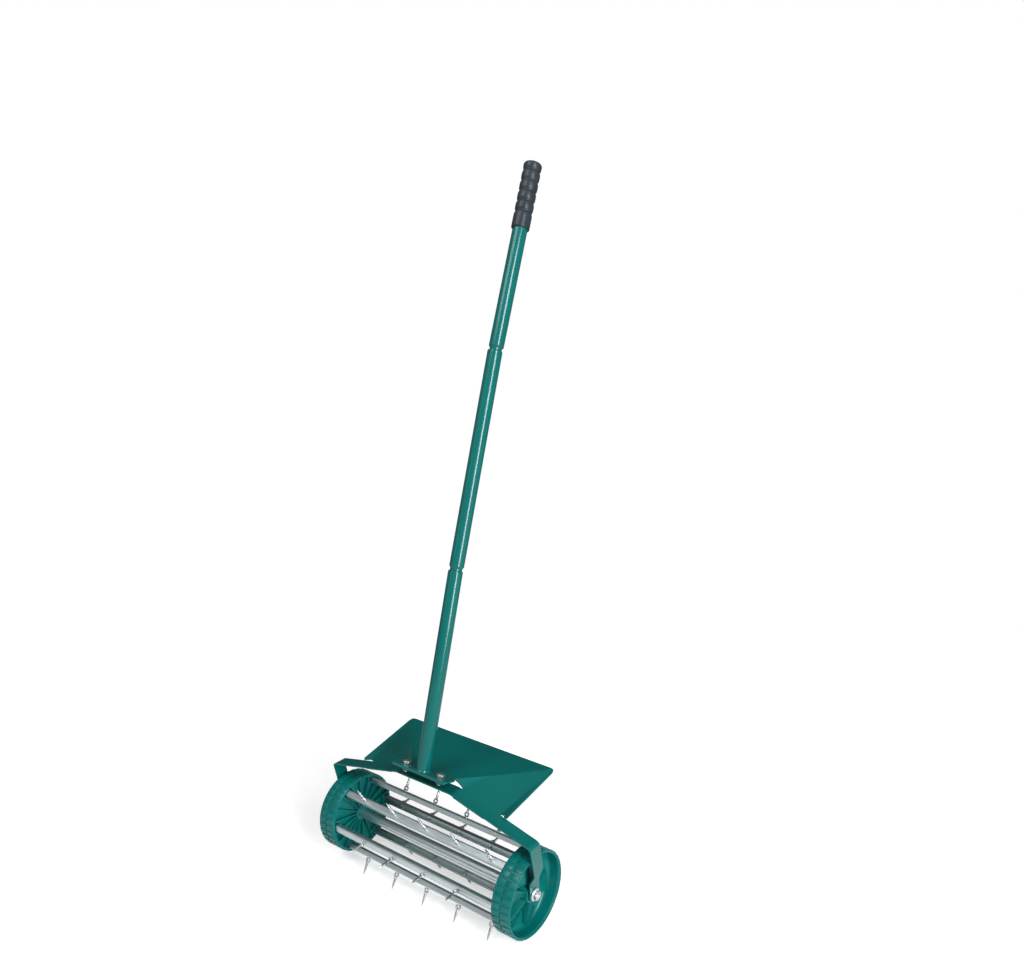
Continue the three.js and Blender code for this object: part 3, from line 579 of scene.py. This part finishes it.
def grip_outline(length):
    """The grip's outline from mouth to end, with a groove's dip added at each groove."""
    points = in_metres(MOUTH)
    for step in range(2, int(length / mm * 2) - 7):
        height = step * 0.5 * mm + 1.0 * mm
        if height > length - END_RADIUS - 0.2 * mm:
            break
        away = min(abs(groove * mm - height) for groove in GRIP_GROOVES)
        dip = GROOVE_DEPTH * math.exp(-(away / GROOVE_REACH * 1.5) ** 2)
        points.append((GRIP_RADIUS - SWELL - dip + SWELL * min(away / SWELL_REACH, 1.0), height))
    for step in range(9):
        turn = math.radians(90 * step / 8)
        points.append((GRIP_RADIUS - END_RADIUS + END_RADIUS * math.cos(turn),
                       length - END_RADIUS + END_RADIUS * math.sin(turn)))
    return points + [(6.0 * mm, length - 0.05 * mm), (0.0, length - 0.15 * mm)]


middle, line = centre_line("handle_upper")
low, high = reach_of("handle_grip", middle, line)
matrix = frame_along(line, middle + line * low)
grip = finish_mesh("ribbed_grip", turn_outline(grip_outline(high - low), False, matrix, 96), rubber)
place(grip, "frame", "grip_rubber", "handle_grip")
print("grip length", round((high - low) / mm, 1), "mm, faces", len(grip.data.polygons))

# %% [markdown]
# ## Bolts and nuts
# A hexagon head is pressed from round wire, so its corners are cut off by a cone. Here each height has
# a radius for every angle: the smaller of the hexagon's own and the cone's. That gives the curved
# corners of a real head, and the same function makes heads, nuts and flanged nuts.

# %% Hexagons
HEXAGON_FACETS = 120
THREAD_DEPTH = 0.5 * mm


def hexagon_radius(turn, across):
    """The distance from the middle to a hexagon's side, at an angle."""
    return across / 2 / math.cos(math.remainder(turn, math.pi / 3))


def levels(foot, rows):
    """Rows of height, cone radius and hexagon flag, in millimetres, set on a foot."""
    return [(foot + height * mm, cone * mm, six) for height, cone, six in rows]


def hexagon_mesh(heights, across, matrix):
    """A bmesh of rings: each height has a cone's radius, and a flag that asks for the hexagon."""
    made, rings = bmesh.new(), []
    for height, cone, six in heights:
        ring = []
        for k in range(HEXAGON_FACETS):
            turn = math.tau * k / HEXAGON_FACETS
            radius = min(cone, hexagon_radius(turn, across)) if six else cone
            ring.append(made.verts.new((radius * math.cos(turn), radius * math.sin(turn), height)))
        rings.append(ring)
    for low, high in zip(rings, rings[1:]):
        bridge(made, low, high)
    if heights[0][1] != heights[-1][1]:
        made.faces.new(list(reversed(rings[0])))
        made.faces.new(rings[-1])
    else:
        bridge(made, rings[-1], rings[0])
    bmesh.ops.recalc_face_normals(made, faces=made.faces)
    made.transform(matrix)
    return made


def threaded(radius, low, high, pitch):
    """The outline of a threaded rod as fine ridges, closed at both ends."""
    root = radius - THREAD_DEPTH
    points = [(0.0, low), (root, low)]
    for k in range(int((high - low - 1.0 * mm) / pitch)):
        foot = low + 0.5 * mm + k * pitch
        points += [(root, foot), (radius, foot + pitch * 0.5)]
    return points + [(root, high - 0.4 * mm), (radius - 1.0 * mm, high), (0.0, high)]


def together(name, parts, material, sharp=30.0):
    """Several bmeshes as one object."""
    return finish_mesh(name, joined(parts), material, sharp)


print("hexagon helpers ready")

# %% [markdown]
# Two bolts with their nuts hold the handle's foot on the yoke. The heads lie on its plate and shine.
# The nuts under the sheet are hidden, and their plate is painted dark as shade. Each is drawn along the
# handle's own line, between the ends of its solid. The thread is a row of plain rings, because a true
# screw line can't be told from them at this size.

# %% Base bolts
BOLT_RADIUS, THREAD_PITCH = 4.0 * mm, 1.25 * mm
HEAD_HEIGHT, BOLT_ACROSS = 5.3 * mm, 13 * mm
SHANK_IN_HEAD = 0.5 * mm
lean = centre_line("handle_lower")[1]
for side in ("right", "left"):
    bolt, nut = f"base_bolt_{side}", f"base_nut_{side}"
    origin = centre_line(nut, lean)[0]
    matrix = frame_along(lean, origin)
    low, high = reach_of(bolt, origin, lean)
    seat = high - HEAD_HEIGHT
    head = levels(seat, [(0.0, 6.2, False), (0.4, 7.4, True), (3.9, 7.5, True), (4.7, 6.9, True),
                         (5.2, 6.2, True)]) + levels(high, [(0.0, 5.4, False)])
    thread = threaded(BOLT_RADIUS, low, seat + SHANK_IN_HEAD, THREAD_PITCH)
    parts = [hexagon_mesh(head, BOLT_ACROSS, matrix), turn_outline(thread, False, matrix, 48)]
    place(together("bolt_" + side, parts, bright_zinc), "frame", "zinc_hardware", bolt)
    low, high = reach_of(nut, origin, lean)
    rings = levels(low, [(0.0, 4.4, False), (0.0, 6.2, True), (0.7, 7.4, True)])
    rings += levels(high, [(-0.7, 7.4, True), (0.0, 6.2, True), (0.0, 4.4, False)])
    parts = [hexagon_mesh(rings, BOLT_ACROSS, matrix)]
    # The nuts take the zinc plate that is painted dark for the shade under the sheet.
    place(together("nut_" + side, parts, shade_painted_zinc), "frame", "zinc_hardware", nut)
print("bolts stand", round(origin.z, 4), "m above the floor")

# %% [markdown]
# Outside each leg the axle ends in a flanged nut, with the threaded end of the rod just proud of it.
# The flange is a wide, low cone that spreads the load on the tab, pressed in one with the hexagon.

# %% Hub nuts
HUB_NUT_ACROSS = 15 * mm
for side, sign in (("right", 1), ("left", -1)):
    nut = f"hub_nut_{side}"
    matrix = frame_along((sign, 0, 0), axle)
    low, high = reach_of(nut, axle, Vector((sign, 0, 0)))
    rings = levels(low, [(0.0, 5.3, False), (0.0, 10.7, False), (0.5, 11.0, False), (1.5, 10.9, False),
                         (2.1, 9.4, False), (2.3, 8.7, True)])
    rings += levels(high, [(-1.0, 8.6, True), (-0.3, 7.6, True), (0.0, 6.7, True), (0.0, 5.3, False)])
    made = together(nut + "_flanged", [hexagon_mesh(rings, HUB_NUT_ACROSS, matrix)], bright_zinc)
    place(made, "frame", "zinc_hardware", nut)
print("hub nuts reach", round(high / mm, 1), "mm from the middle")

# %% [markdown]
# ## Copies round the axle
# The wheel's tread blocks, its thin ribs and its six teeth are each one shape repeated round the axle.
# A Geometry Nodes tree takes the shape, how many copies it needs and the first one's turn, and places
# them. The result is realized and made a plain mesh, which joins the turned body of the wheel.

# %% Geometry Nodes: copies round the axle
def geometry_tree(name, inputs):
    """An empty geometry tree with named inputs and one geometry output."""
    tree = bpy.data.node_groups.new(name, "GeometryNodeTree")
    sockets = {}
    for label, kind, value in inputs:
        socket = tree.interface.new_socket(name=label, in_out="INPUT", socket_type=kind)
        if value is not None:
            socket.default_value = value
        sockets[label] = socket.identifier
    tree.interface.new_socket(name="Geometry", in_out="OUTPUT", socket_type="NodeSocketGeometry")
    return tree, sockets, tree.nodes.new("NodeGroupInput"), tree.nodes.new("NodeGroupOutput")


def run_tree(tree, sockets, values, name):
    """A tree run on an empty object and made a plain mesh in a bmesh."""
    holder = linked(name, bpy.data.meshes.new(name))
    modifier = holder.modifiers.new("made by rule", "NODES")
    modifier.node_group = tree
    for label, value in values.items():
        modifier[sockets[label]] = value
    depsgraph = bpy.context.evaluated_depsgraph_get()
    mesh = bpy.data.meshes.new_from_object(holder.evaluated_get(depsgraph))
    holder.modifiers.remove(modifier)
    bpy.data.objects.remove(holder)
    made = bmesh.new()
    made.from_mesh(mesh)
    bpy.data.meshes.remove(mesh)
    return made


def copies_out(tree, start, end, points, turns):
    """Copies of a tree's Shape on points, realized, in its Material and sent out."""
    shape = node(tree, "GeometryNodeObjectInfo", [("Object", start.outputs["Shape"])])
    angles = node(tree, "ShaderNodeCombineXYZ", [("X", turns)])
    copies = node(tree, "GeometryNodeInstanceOnPoints", [
        ("Points", points), ("Instance", shape.outputs["Geometry"]), ("Rotation", angles.outputs["Vector"])])
    real = node(tree, "GeometryNodeRealizeInstances", [("Geometry", copies.outputs["Instances"])])
    dressed = node(tree, "GeometryNodeSetMaterial", [
        ("Geometry", real.outputs["Geometry"]), ("Material", start.outputs["Material"])])
    tree.links.new(dressed.outputs["Geometry"], end.inputs["Geometry"])


OBJECT, INT, MATERIAL = "NodeSocketObject", "NodeSocketInt", "NodeSocketMaterial"
ring_tree, ring_sockets, start, end = geometry_tree("copies round the axle", [
    ("Shape", OBJECT, None), ("Count", INT, 6), ("First Turn", FLOAT, 0.0), ("Centre", VECTOR, None),
    ("Material", MATERIAL, None)])
dots = node(ring_tree, "GeometryNodePoints", [
    ("Count", start.outputs["Count"]), ("Position", start.outputs["Centre"])])
share = node(ring_tree, "ShaderNodeMath", [(1, start.outputs["Count"])], {0: math.tau}, operation="DIVIDE")
index = ring_tree.nodes.new("GeometryNodeInputIndex")
turn = node(ring_tree, "ShaderNodeMath", [
    (0, index.outputs["Index"]), (1, share.outputs["Value"]), (2, start.outputs["First Turn"])],
    operation="MULTIPLY_ADD")
copies_out(ring_tree, start, end, dots.outputs[0], turn.outputs["Value"])


def round_the_axle(name, made, count, first, material):
    """Copies of one bmesh, which is drawn about the axle as zero and outward along +Z."""
    shape = finish_mesh(name + "_shape", made, material)
    result = run_tree(ring_tree, ring_sockets, {
        "Shape": shape, "Count": count, "First Turn": first, "Centre": axle, "Material": material}, name)
    bpy.data.objects.remove(shape)
    return result


print("tree:", ring_tree.name)

# %% [markdown]
# ## The wheels
# Each wheel is one moulding: a drum with two rows of tread blocks, a web with a deep dish on the outer
# side, a hub, and thin ribs at the back that hold the bar ends. Six teeth make a star in the dish. A
# tooth's crest falls from the hub to the rim, and the tooth is steep on one side and gentle on the
# other. The body is turned from one outline, and the rest is repeated round it.

# %% Wheel shapes
WHEEL_IN, WHEEL_OUT = [v / mm for v in reach_of("wheel_right", axle, Vector((1, 0, 0)))]
WHEEL_RADIUS, DRUM, RIM, HUB, HUB_BORE = 76.2, 74.6, 70.2, 14.0, 6.4
DISH_DEPTH, WEB_THICKNESS, HUB_SUNK, FILLET = 26.4, 3.0, 8.2, 9.0
WEB_OUT, HUB_END = WHEEL_OUT - DISH_DEPTH, WHEEL_OUT - HUB_SUNK
WEB_IN = WEB_OUT - WEB_THICKNESS
TREADS, TREAD_GAP = 36, 3.4
TEETH, TOOTH_PHASE, TOOTH_SPREAD = 6, math.radians(29), math.radians(34)
CREST_AT_HUB, CREST_AT_RIM = 16.0, 7.0
RIBS, RIB_PHASE = 18, math.radians(10)
LEDGE_TOP, LEDGE_THICKNESS = 59.3, 2.0
BACK_LOW, BACK_HIGH = WHEEL_IN + 0.3, WEB_IN + 1.0
print("wheel runs from", round(WHEEL_IN, 1), "to", round(WHEEL_OUT, 1), "mm")


def wedge(corners, width):
    """Eight corners, the low four and then the high four, as a block with softened edges."""
    made = bmesh.new()
    points = [made.verts.new(Vector(c) * mm) for c in corners]
    for face in ((3, 2, 1, 0), (4, 5, 6, 7), (0, 1, 5, 4), (1, 2, 6, 5), (2, 3, 7, 6), (3, 0, 4, 7)):
        made.faces.new([points[k] for k in face])
    bmesh.ops.recalc_face_normals(made, faces=made.faces)
    bmesh.ops.bevel(made, geom=made.edges[:], offset=width, segments=2, profile=0.5, affect="EDGES")
    return made


def wheel_body():
    """The turned body of the right wheel, drawn along +Z from the tool's middle."""
    outline = [
        (HUB_BORE, WHEEL_IN), (HUB, WHEEL_IN), (HUB, WEB_IN), (RIM, WEB_IN), (RIM, WHEEL_IN),
        (DRUM, WHEEL_IN), (DRUM, WHEEL_OUT), (DRUM - 2.0, WHEEL_OUT), (DRUM - 2.0, WHEEL_OUT - 1.6),
        (DRUM - 3.2, WHEEL_OUT - 1.6), (RIM, WHEEL_OUT - 5.0)]
    for step in range(9):
        turn = math.radians(90 * step / 8)
        outline.append((RIM - FILLET + FILLET * math.cos(turn), WEB_OUT + FILLET - FILLET * math.sin(turn)))
    outline += [(18.0, WEB_OUT), (16.0, HUB_END), (HUB_BORE, HUB_END)]
    outline = rounded(in_metres(outline), True, 0.7 * mm)
    return turn_outline(outline, True, frame_along(ACROSS, axle), 144)


def tread_block():
    """One block of each tread row, across from one another."""
    pitch = math.tau / TREADS
    foot, top = pitch * 0.78 / 2, pitch * 0.66 / 2
    middle = (WHEEL_IN + WHEEL_OUT) / 2
    blocks = []
    for low, high in ((WHEEL_IN + 1.4, middle - TREAD_GAP / 2), (middle + TREAD_GAP / 2, WHEEL_OUT - 1.4)):
        ends = []
        for x in (low, high):
            ends.append([(x, DRUM * math.sin(-foot), 73.4), (x, DRUM * math.sin(foot), 73.4),
                         (x, WHEEL_RADIUS * math.sin(top), WHEEL_RADIUS * math.cos(top)),
                         (x, WHEEL_RADIUS * math.sin(-top), WHEEL_RADIUS * math.cos(top))])
        blocks.append(wedge(ends[0] + ends[1], 0.35 * mm))
    return blocks


def dish_tooth():
    """One tooth of the star in the dish: the crest falls from hub to rim, steep on one side of it."""
    sunk, root, reach = WEB_OUT - 1.0, 11.2, 73.3
    return wedge([
        (sunk, -root * math.sin(math.pi / 3), root * math.cos(math.pi / 3)), (sunk, 2.0, root),
        (sunk, 2.0, reach), (sunk, -reach * math.sin(TOOTH_SPREAD), reach * math.cos(TOOTH_SPREAD)),
        (WEB_OUT + CREST_AT_HUB, -0.9, root), (WEB_OUT + CREST_AT_HUB, 0.9, root),
        (WEB_OUT + CREST_AT_RIM, 0.9, reach), (WEB_OUT + CREST_AT_RIM, -0.9, reach)], 0.6 * mm)


def back_rib():
    """One thin rib behind the web, a little thicker at its foot for the mould's draft."""
    root, reach = 12.0, 71.5
    corners = []
    for level, half in ((BACK_LOW, 1.0), (BACK_HIGH, 1.25)):
        corners += [(level, -half, root), (level, half, root), (level, half, reach), (level, -half, reach)]
    return wedge(corners, 0.3 * mm)


def bar_ledge():
    """The ledge under one bar's end, between two ribs."""
    half, under = LEDGE_TOP * math.tan(RIB_PHASE), LEDGE_TOP - LEDGE_THICKNESS
    corners = []
    for level in (BACK_LOW, BACK_HIGH):
        corners += [(level, -half, under), (level, half, under),
                    (level, half, LEDGE_TOP), (level, -half, LEDGE_TOP)]
    return wedge(corners, 0.25 * mm)


print("wheel shapes ready:", TREADS, "treads a row,", TEETH, "teeth,", RIBS, "ribs")

# %% [markdown]
# The star is turned as it stands in the photograph, and the ledges stand at the bars. One mould serves
# both sides, so the left wheel is the right one turned half round. A mirrored one would be another
# moulding, and its teeth would lean the wrong way.

# %% Wheels
QUARTER = math.pi / 2


def whole_wheel():
    """The right wheel's bmeshes."""
    first, second = tread_block()
    return [
        wheel_body(),
        round_the_axle("inner_tread", first, TREADS, -QUARTER, teal_plastic),
        round_the_axle("outer_tread", second, TREADS, -QUARTER, teal_plastic),
        round_the_axle("dish_teeth", dish_tooth(), TEETH, TOOTH_PHASE - QUARTER, teal_plastic),
        round_the_axle("back_ribs", back_rib(), RIBS, RIB_PHASE + QUARTER, teal_plastic),
        round_the_axle("bar_ledges", bar_ledge(), BARS, QUARTER, teal_plastic)]


wheel = together("moulded_wheel_right", whole_wheel(), teal_plastic, 32.0)
left_mesh = wheel.data.copy()
half_turn = Matrix.Translation(axle) @ Matrix.Rotation(math.pi, 4, "Z") @ Matrix.Translation(-axle)
left_mesh.transform(half_turn)
left_wheel = linked("moulded_wheel_left", left_mesh)
place(wheel, "roller", "teal_plastic", "wheel_right")
place(left_wheel, "roller", "teal_plastic", "wheel_left")
print("wheel faces", len(wheel.data.polygons))

# %% [markdown]
# ## The spikes
# A spike is one piece of wire: a rivet head inside the bar, a short shank, a flattened eye and a
# tapered tine with a sharp point. All four are turned from outlines of radius and height above the
# axle, because the wire is round nearly everywhere, and joined to one shape.

# %% One spike
RIVET_HEAD = [(0.0, 64.9), (4.2, 64.9), (4.75, 65.8), (4.75, 67.3), (0.0, 67.3)]
SHANK = [(0.0, 66.4), (2.45, 66.4), (2.45, 69.8), (2.2, 71.2), (1.7, 72.1), (0.0, 72.3)]
TINE = [(0.0, 76.9), (1.7, 77.1), (2.15, 78.4), (2.35, 80.5), (2.25, 86.0), (2.05, 93.2), (1.2, 98.6),
        (0.35, 103.0), (0.0, 103.37)]
EYE = [(2.35, -1.9), (4.95, -1.9), (4.95, 1.9), (2.35, 1.9)]
EYE_HEIGHT = 74.55 * mm


def spike_mesh():
    """A spike about the axle as zero, pointing along +Z, as one bmesh."""
    upright = Matrix.Identity(4)
    eye_line = Matrix.Translation((0, 0, EYE_HEIGHT)) @ Matrix.Rotation(QUARTER, 4, "X")
    return joined([
        turn_outline(rounded(in_metres(RIVET_HEAD), False, 0.5 * mm, 2), False, upright, 20),
        turn_outline(in_metres(SHANK), False, upright, 16),
        turn_outline(in_metres(TINE), False, upright, 16),
        turn_outline(rounded(in_metres(EYE), True, 1.1 * mm, 3), True, eye_line, 24)])


spike_shape = finish_mesh("spike_shape", spike_mesh(), spike_zinc)
print("one spike has", len(spike_shape.data.polygons), "faces")

# %% [markdown]
# A second tree lays copies of a shape along a row, at an even pitch about the row's middle. The row can
# be shifted sideways, and it turns with its bar. Only its count, its shift and its turn are its own.

# %% Geometry Nodes: copies along a row
SPIKE_PITCH = 73.5 * mm
row_tree, row_sockets, start, end = geometry_tree("copies along a row", [
    ("Shape", OBJECT, None), ("Count", INT, 5), ("Pitch", FLOAT, SPIKE_PITCH), ("Shift", FLOAT, 0.0),
    ("Turn", FLOAT, 0.0), ("Centre", VECTOR, None), ("Material", MATERIAL, None)])
index = row_tree.nodes.new("GeometryNodeInputIndex")
less = node(row_tree, "ShaderNodeMath", [(0, start.outputs["Count"])], {1: 1.0}, operation="SUBTRACT")
half = node(row_tree, "ShaderNodeMath", [(0, less.outputs["Value"])], {1: 0.5}, operation="MULTIPLY")
step = node(row_tree, "ShaderNodeMath", [
    (0, index.outputs["Index"]), (1, half.outputs["Value"])], operation="SUBTRACT")
far = node(row_tree, "ShaderNodeMath", [
    (0, step.outputs["Value"]), (1, start.outputs["Pitch"]), (2, start.outputs["Shift"])],
    operation="MULTIPLY_ADD")
spot = node(row_tree, "ShaderNodeCombineXYZ", [("X", far.outputs["Value"])])
seat = node(row_tree, "ShaderNodeVectorMath", [
    (0, spot.outputs["Vector"]), (1, start.outputs["Centre"])], operation="ADD")
dots = node(row_tree, "GeometryNodePoints", [("Count", start.outputs["Count"])])
moved = node(row_tree, "GeometryNodeSetPosition", [
    ("Geometry", dots.outputs[0]), ("Position", seat.outputs["Vector"])])
copies_out(row_tree, start, end, moved.outputs["Geometry"], start.outputs["Turn"])
print("tree:", row_tree.name)

# %% [markdown]
# The rows hold five and four spikes in turn, so the holes that they prick stand in a staggered pattern.
# Each row's shift was read from the photograph.

# %% All the spikes
ROW_SHIFTS = [0.5, 8.0, 8.0, 1.0, 11.5, 4.5]
rows, stands_for = [], []
for row, shift in enumerate(ROW_SHIFTS):
    count = 5 if row % 2 == 0 else 4
    rows.append(run_tree(row_tree, row_sockets, {
        "Shape": spike_shape, "Count": count, "Pitch": SPIKE_PITCH, "Shift": shift * mm,
        "Turn": math.tau * row / BARS - QUARTER, "Centre": axle, "Material": spike_zinc}, f"row_{row}"))
    stands_for += [f"spike_{row + 1}_{k + 1}" for k in range(count)]
bpy.data.objects.remove(spike_shape)
spikes = together("riveted_spikes", rows, spike_zinc, 40.0)
place(spikes, "roller", "spike_steel", *stands_for)
print("spikes", len(stands_for), "faces", len(spikes.data.polygons))

# %% [markdown]
# ## Floor and light
# The photograph has a white ground with no edge. Near the tool the floor is a plain pale surface that
# takes its shadow, and further out it turns to even white by its distance from the middle, so no
# horizon shows. Mirrored in the tool, the floor glows, less towards the rear, as a sheet of studio
# paper does that curves up into the dark.

# %% Floor
FLOOR_HALF, FLOOR_DROP = 30.0, 0.5 * mm
GLOW_FRONT, GLOW_REAR, CAMERA_LIFT = 0.62, 0.12, 0.5
WHITE_FROM, WHITE_AT = 0.45, 1.1
corners = [(x * FLOOR_HALF, y * FLOOR_HALF, 0) for x, y in ((-1, -1), (1, -1), (1, 1), (-1, 1))]
floor_mesh = bpy.data.meshes.new("floor")
floor_mesh.from_pydata(corners, [], [(0, 1, 2, 3)])
floor_material, tree, shader, place_from = new_material("pale floor", (0.86, 0.86, 0.86), 0.95)
shader.inputs["Specular IOR Level"].default_value = 0.0
seen = tree.nodes.new("ShaderNodeLightPath").outputs["Is Camera Ray"]
rearward = node(tree, "ShaderNodeVectorMath", [(0, place_from)], {1: (-0.61, 0.79, 0.0)},
                operation="DOT_PRODUCT")
darker = varied(tree, rearward.outputs["Value"], GLOW_FRONT, GLOW_REAR, -0.4, 1.0, "SMOOTHSTEP")
level = node(tree, "ShaderNodeMix", [(0, seen), (2, darker)], {3: 1.0}, data_type="FLOAT")
glow = node(tree, "ShaderNodeEmission", [("Strength", level.outputs[0])])
amount = node(tree, "ShaderNodeMath", [(0, seen)], {1: CAMERA_LIFT}, operation="MULTIPLY")
lift = node(tree, "ShaderNodeEmission", [("Strength", amount.outputs["Value"])])
near = node(tree, "ShaderNodeAddShader", [(0, shader.outputs["BSDF"]), (1, lift.outputs["Emission"])])
far = node(tree, "ShaderNodeVectorMath", [(0, place_from)], operation="LENGTH")
fade = varied(tree, far.outputs["Value"], 0.0, 1.0, WHITE_FROM, WHITE_AT, "SMOOTHSTEP")
both = node(tree, "ShaderNodeMixShader", [
    (0, fade), (1, near.outputs["Shader"]), (2, glow.outputs["Emission"])])
tree.links.new(both.outputs["Shader"], tree.nodes["Material Output"].inputs["Surface"])
floor_mesh.materials.append(floor_material)
floor = linked("floor", floor_mesh)
floor.location.z = -FLOOR_DROP
print("floor ready")

# %% [markdown]
# The world is plain white for the camera, and dim for the light and the mirror images, darkest behind
# the tool. The wide fender mirrors that side, so this is what keeps its teal deep.

# %% World
DIM_FRONT, DIM_REAR = 0.22, 0.05
world = bpy.data.worlds.new("studio")
world.use_nodes = True
bpy.context.scene.world = world
tree = world.node_tree
sky = tree.nodes["Background"]
path = tree.nodes.new("ShaderNodeLightPath")
direction = tree.nodes.new("ShaderNodeTexCoord").outputs["Generated"]
behind = node(tree, "ShaderNodeVectorMath", [(0, direction)], {1: (-0.5, 0.84, 0.2)},
              operation="DOT_PRODUCT")
dim = varied(tree, behind.outputs["Value"], DIM_FRONT, DIM_REAR, 0.55, 0.9, "SMOOTHSTEP")
level = node(tree, "ShaderNodeMath", [
    (0, path.outputs["Is Camera Ray"]), (1, path.outputs["Is Transmission Ray"])], operation="MAXIMUM")
strength = node(tree, "ShaderNodeMix", [(0, level.outputs["Value"]), (2, dim)], {3: 1.0}, data_type="FLOAT")
sky.inputs["Color"].default_value = (1.0, 1.0, 1.0, 1.0)
tree.links.new(strength.outputs[0], sky.inputs["Strength"])
print("world ready")

# %% [markdown]
# A tall lamp at the right draws the bright line on the tubes and gives the zinc its white. A soft lamp
# high in front lights the sheet from above, and a weak one at the left fills the shadows.

# %% Lamps
def lamp(name, spot, target, size, power):
    """A rectangular area lamp that faces a target."""
    data = bpy.data.lights.new(name, "AREA")
    data.shape = "RECTANGLE"
    data.size, data.size_y = size
    data.energy = power
    made = linked(name, data)
    made.location = spot
    made.rotation_euler = (Vector(target) - Vector(spot)).to_track_quat("-Z", "Y").to_euler()


lamp("left lamp", (-1.6, -2.8, 1.7), (0, 0, 0.4), (1.8, 1.8), 4)
lamp("right lamp", (2.2, -0.85, 1.35), (0, 0, 0.6), (0.7, 2.3), 88)
lamp("top lamp", (-0.5, -1.5, 2.7), (0, 0, 0.2), (1.4, 1.4), 27)
bpy.context.scene.view_settings.view_transform = "Standard"
print("lamps ready")
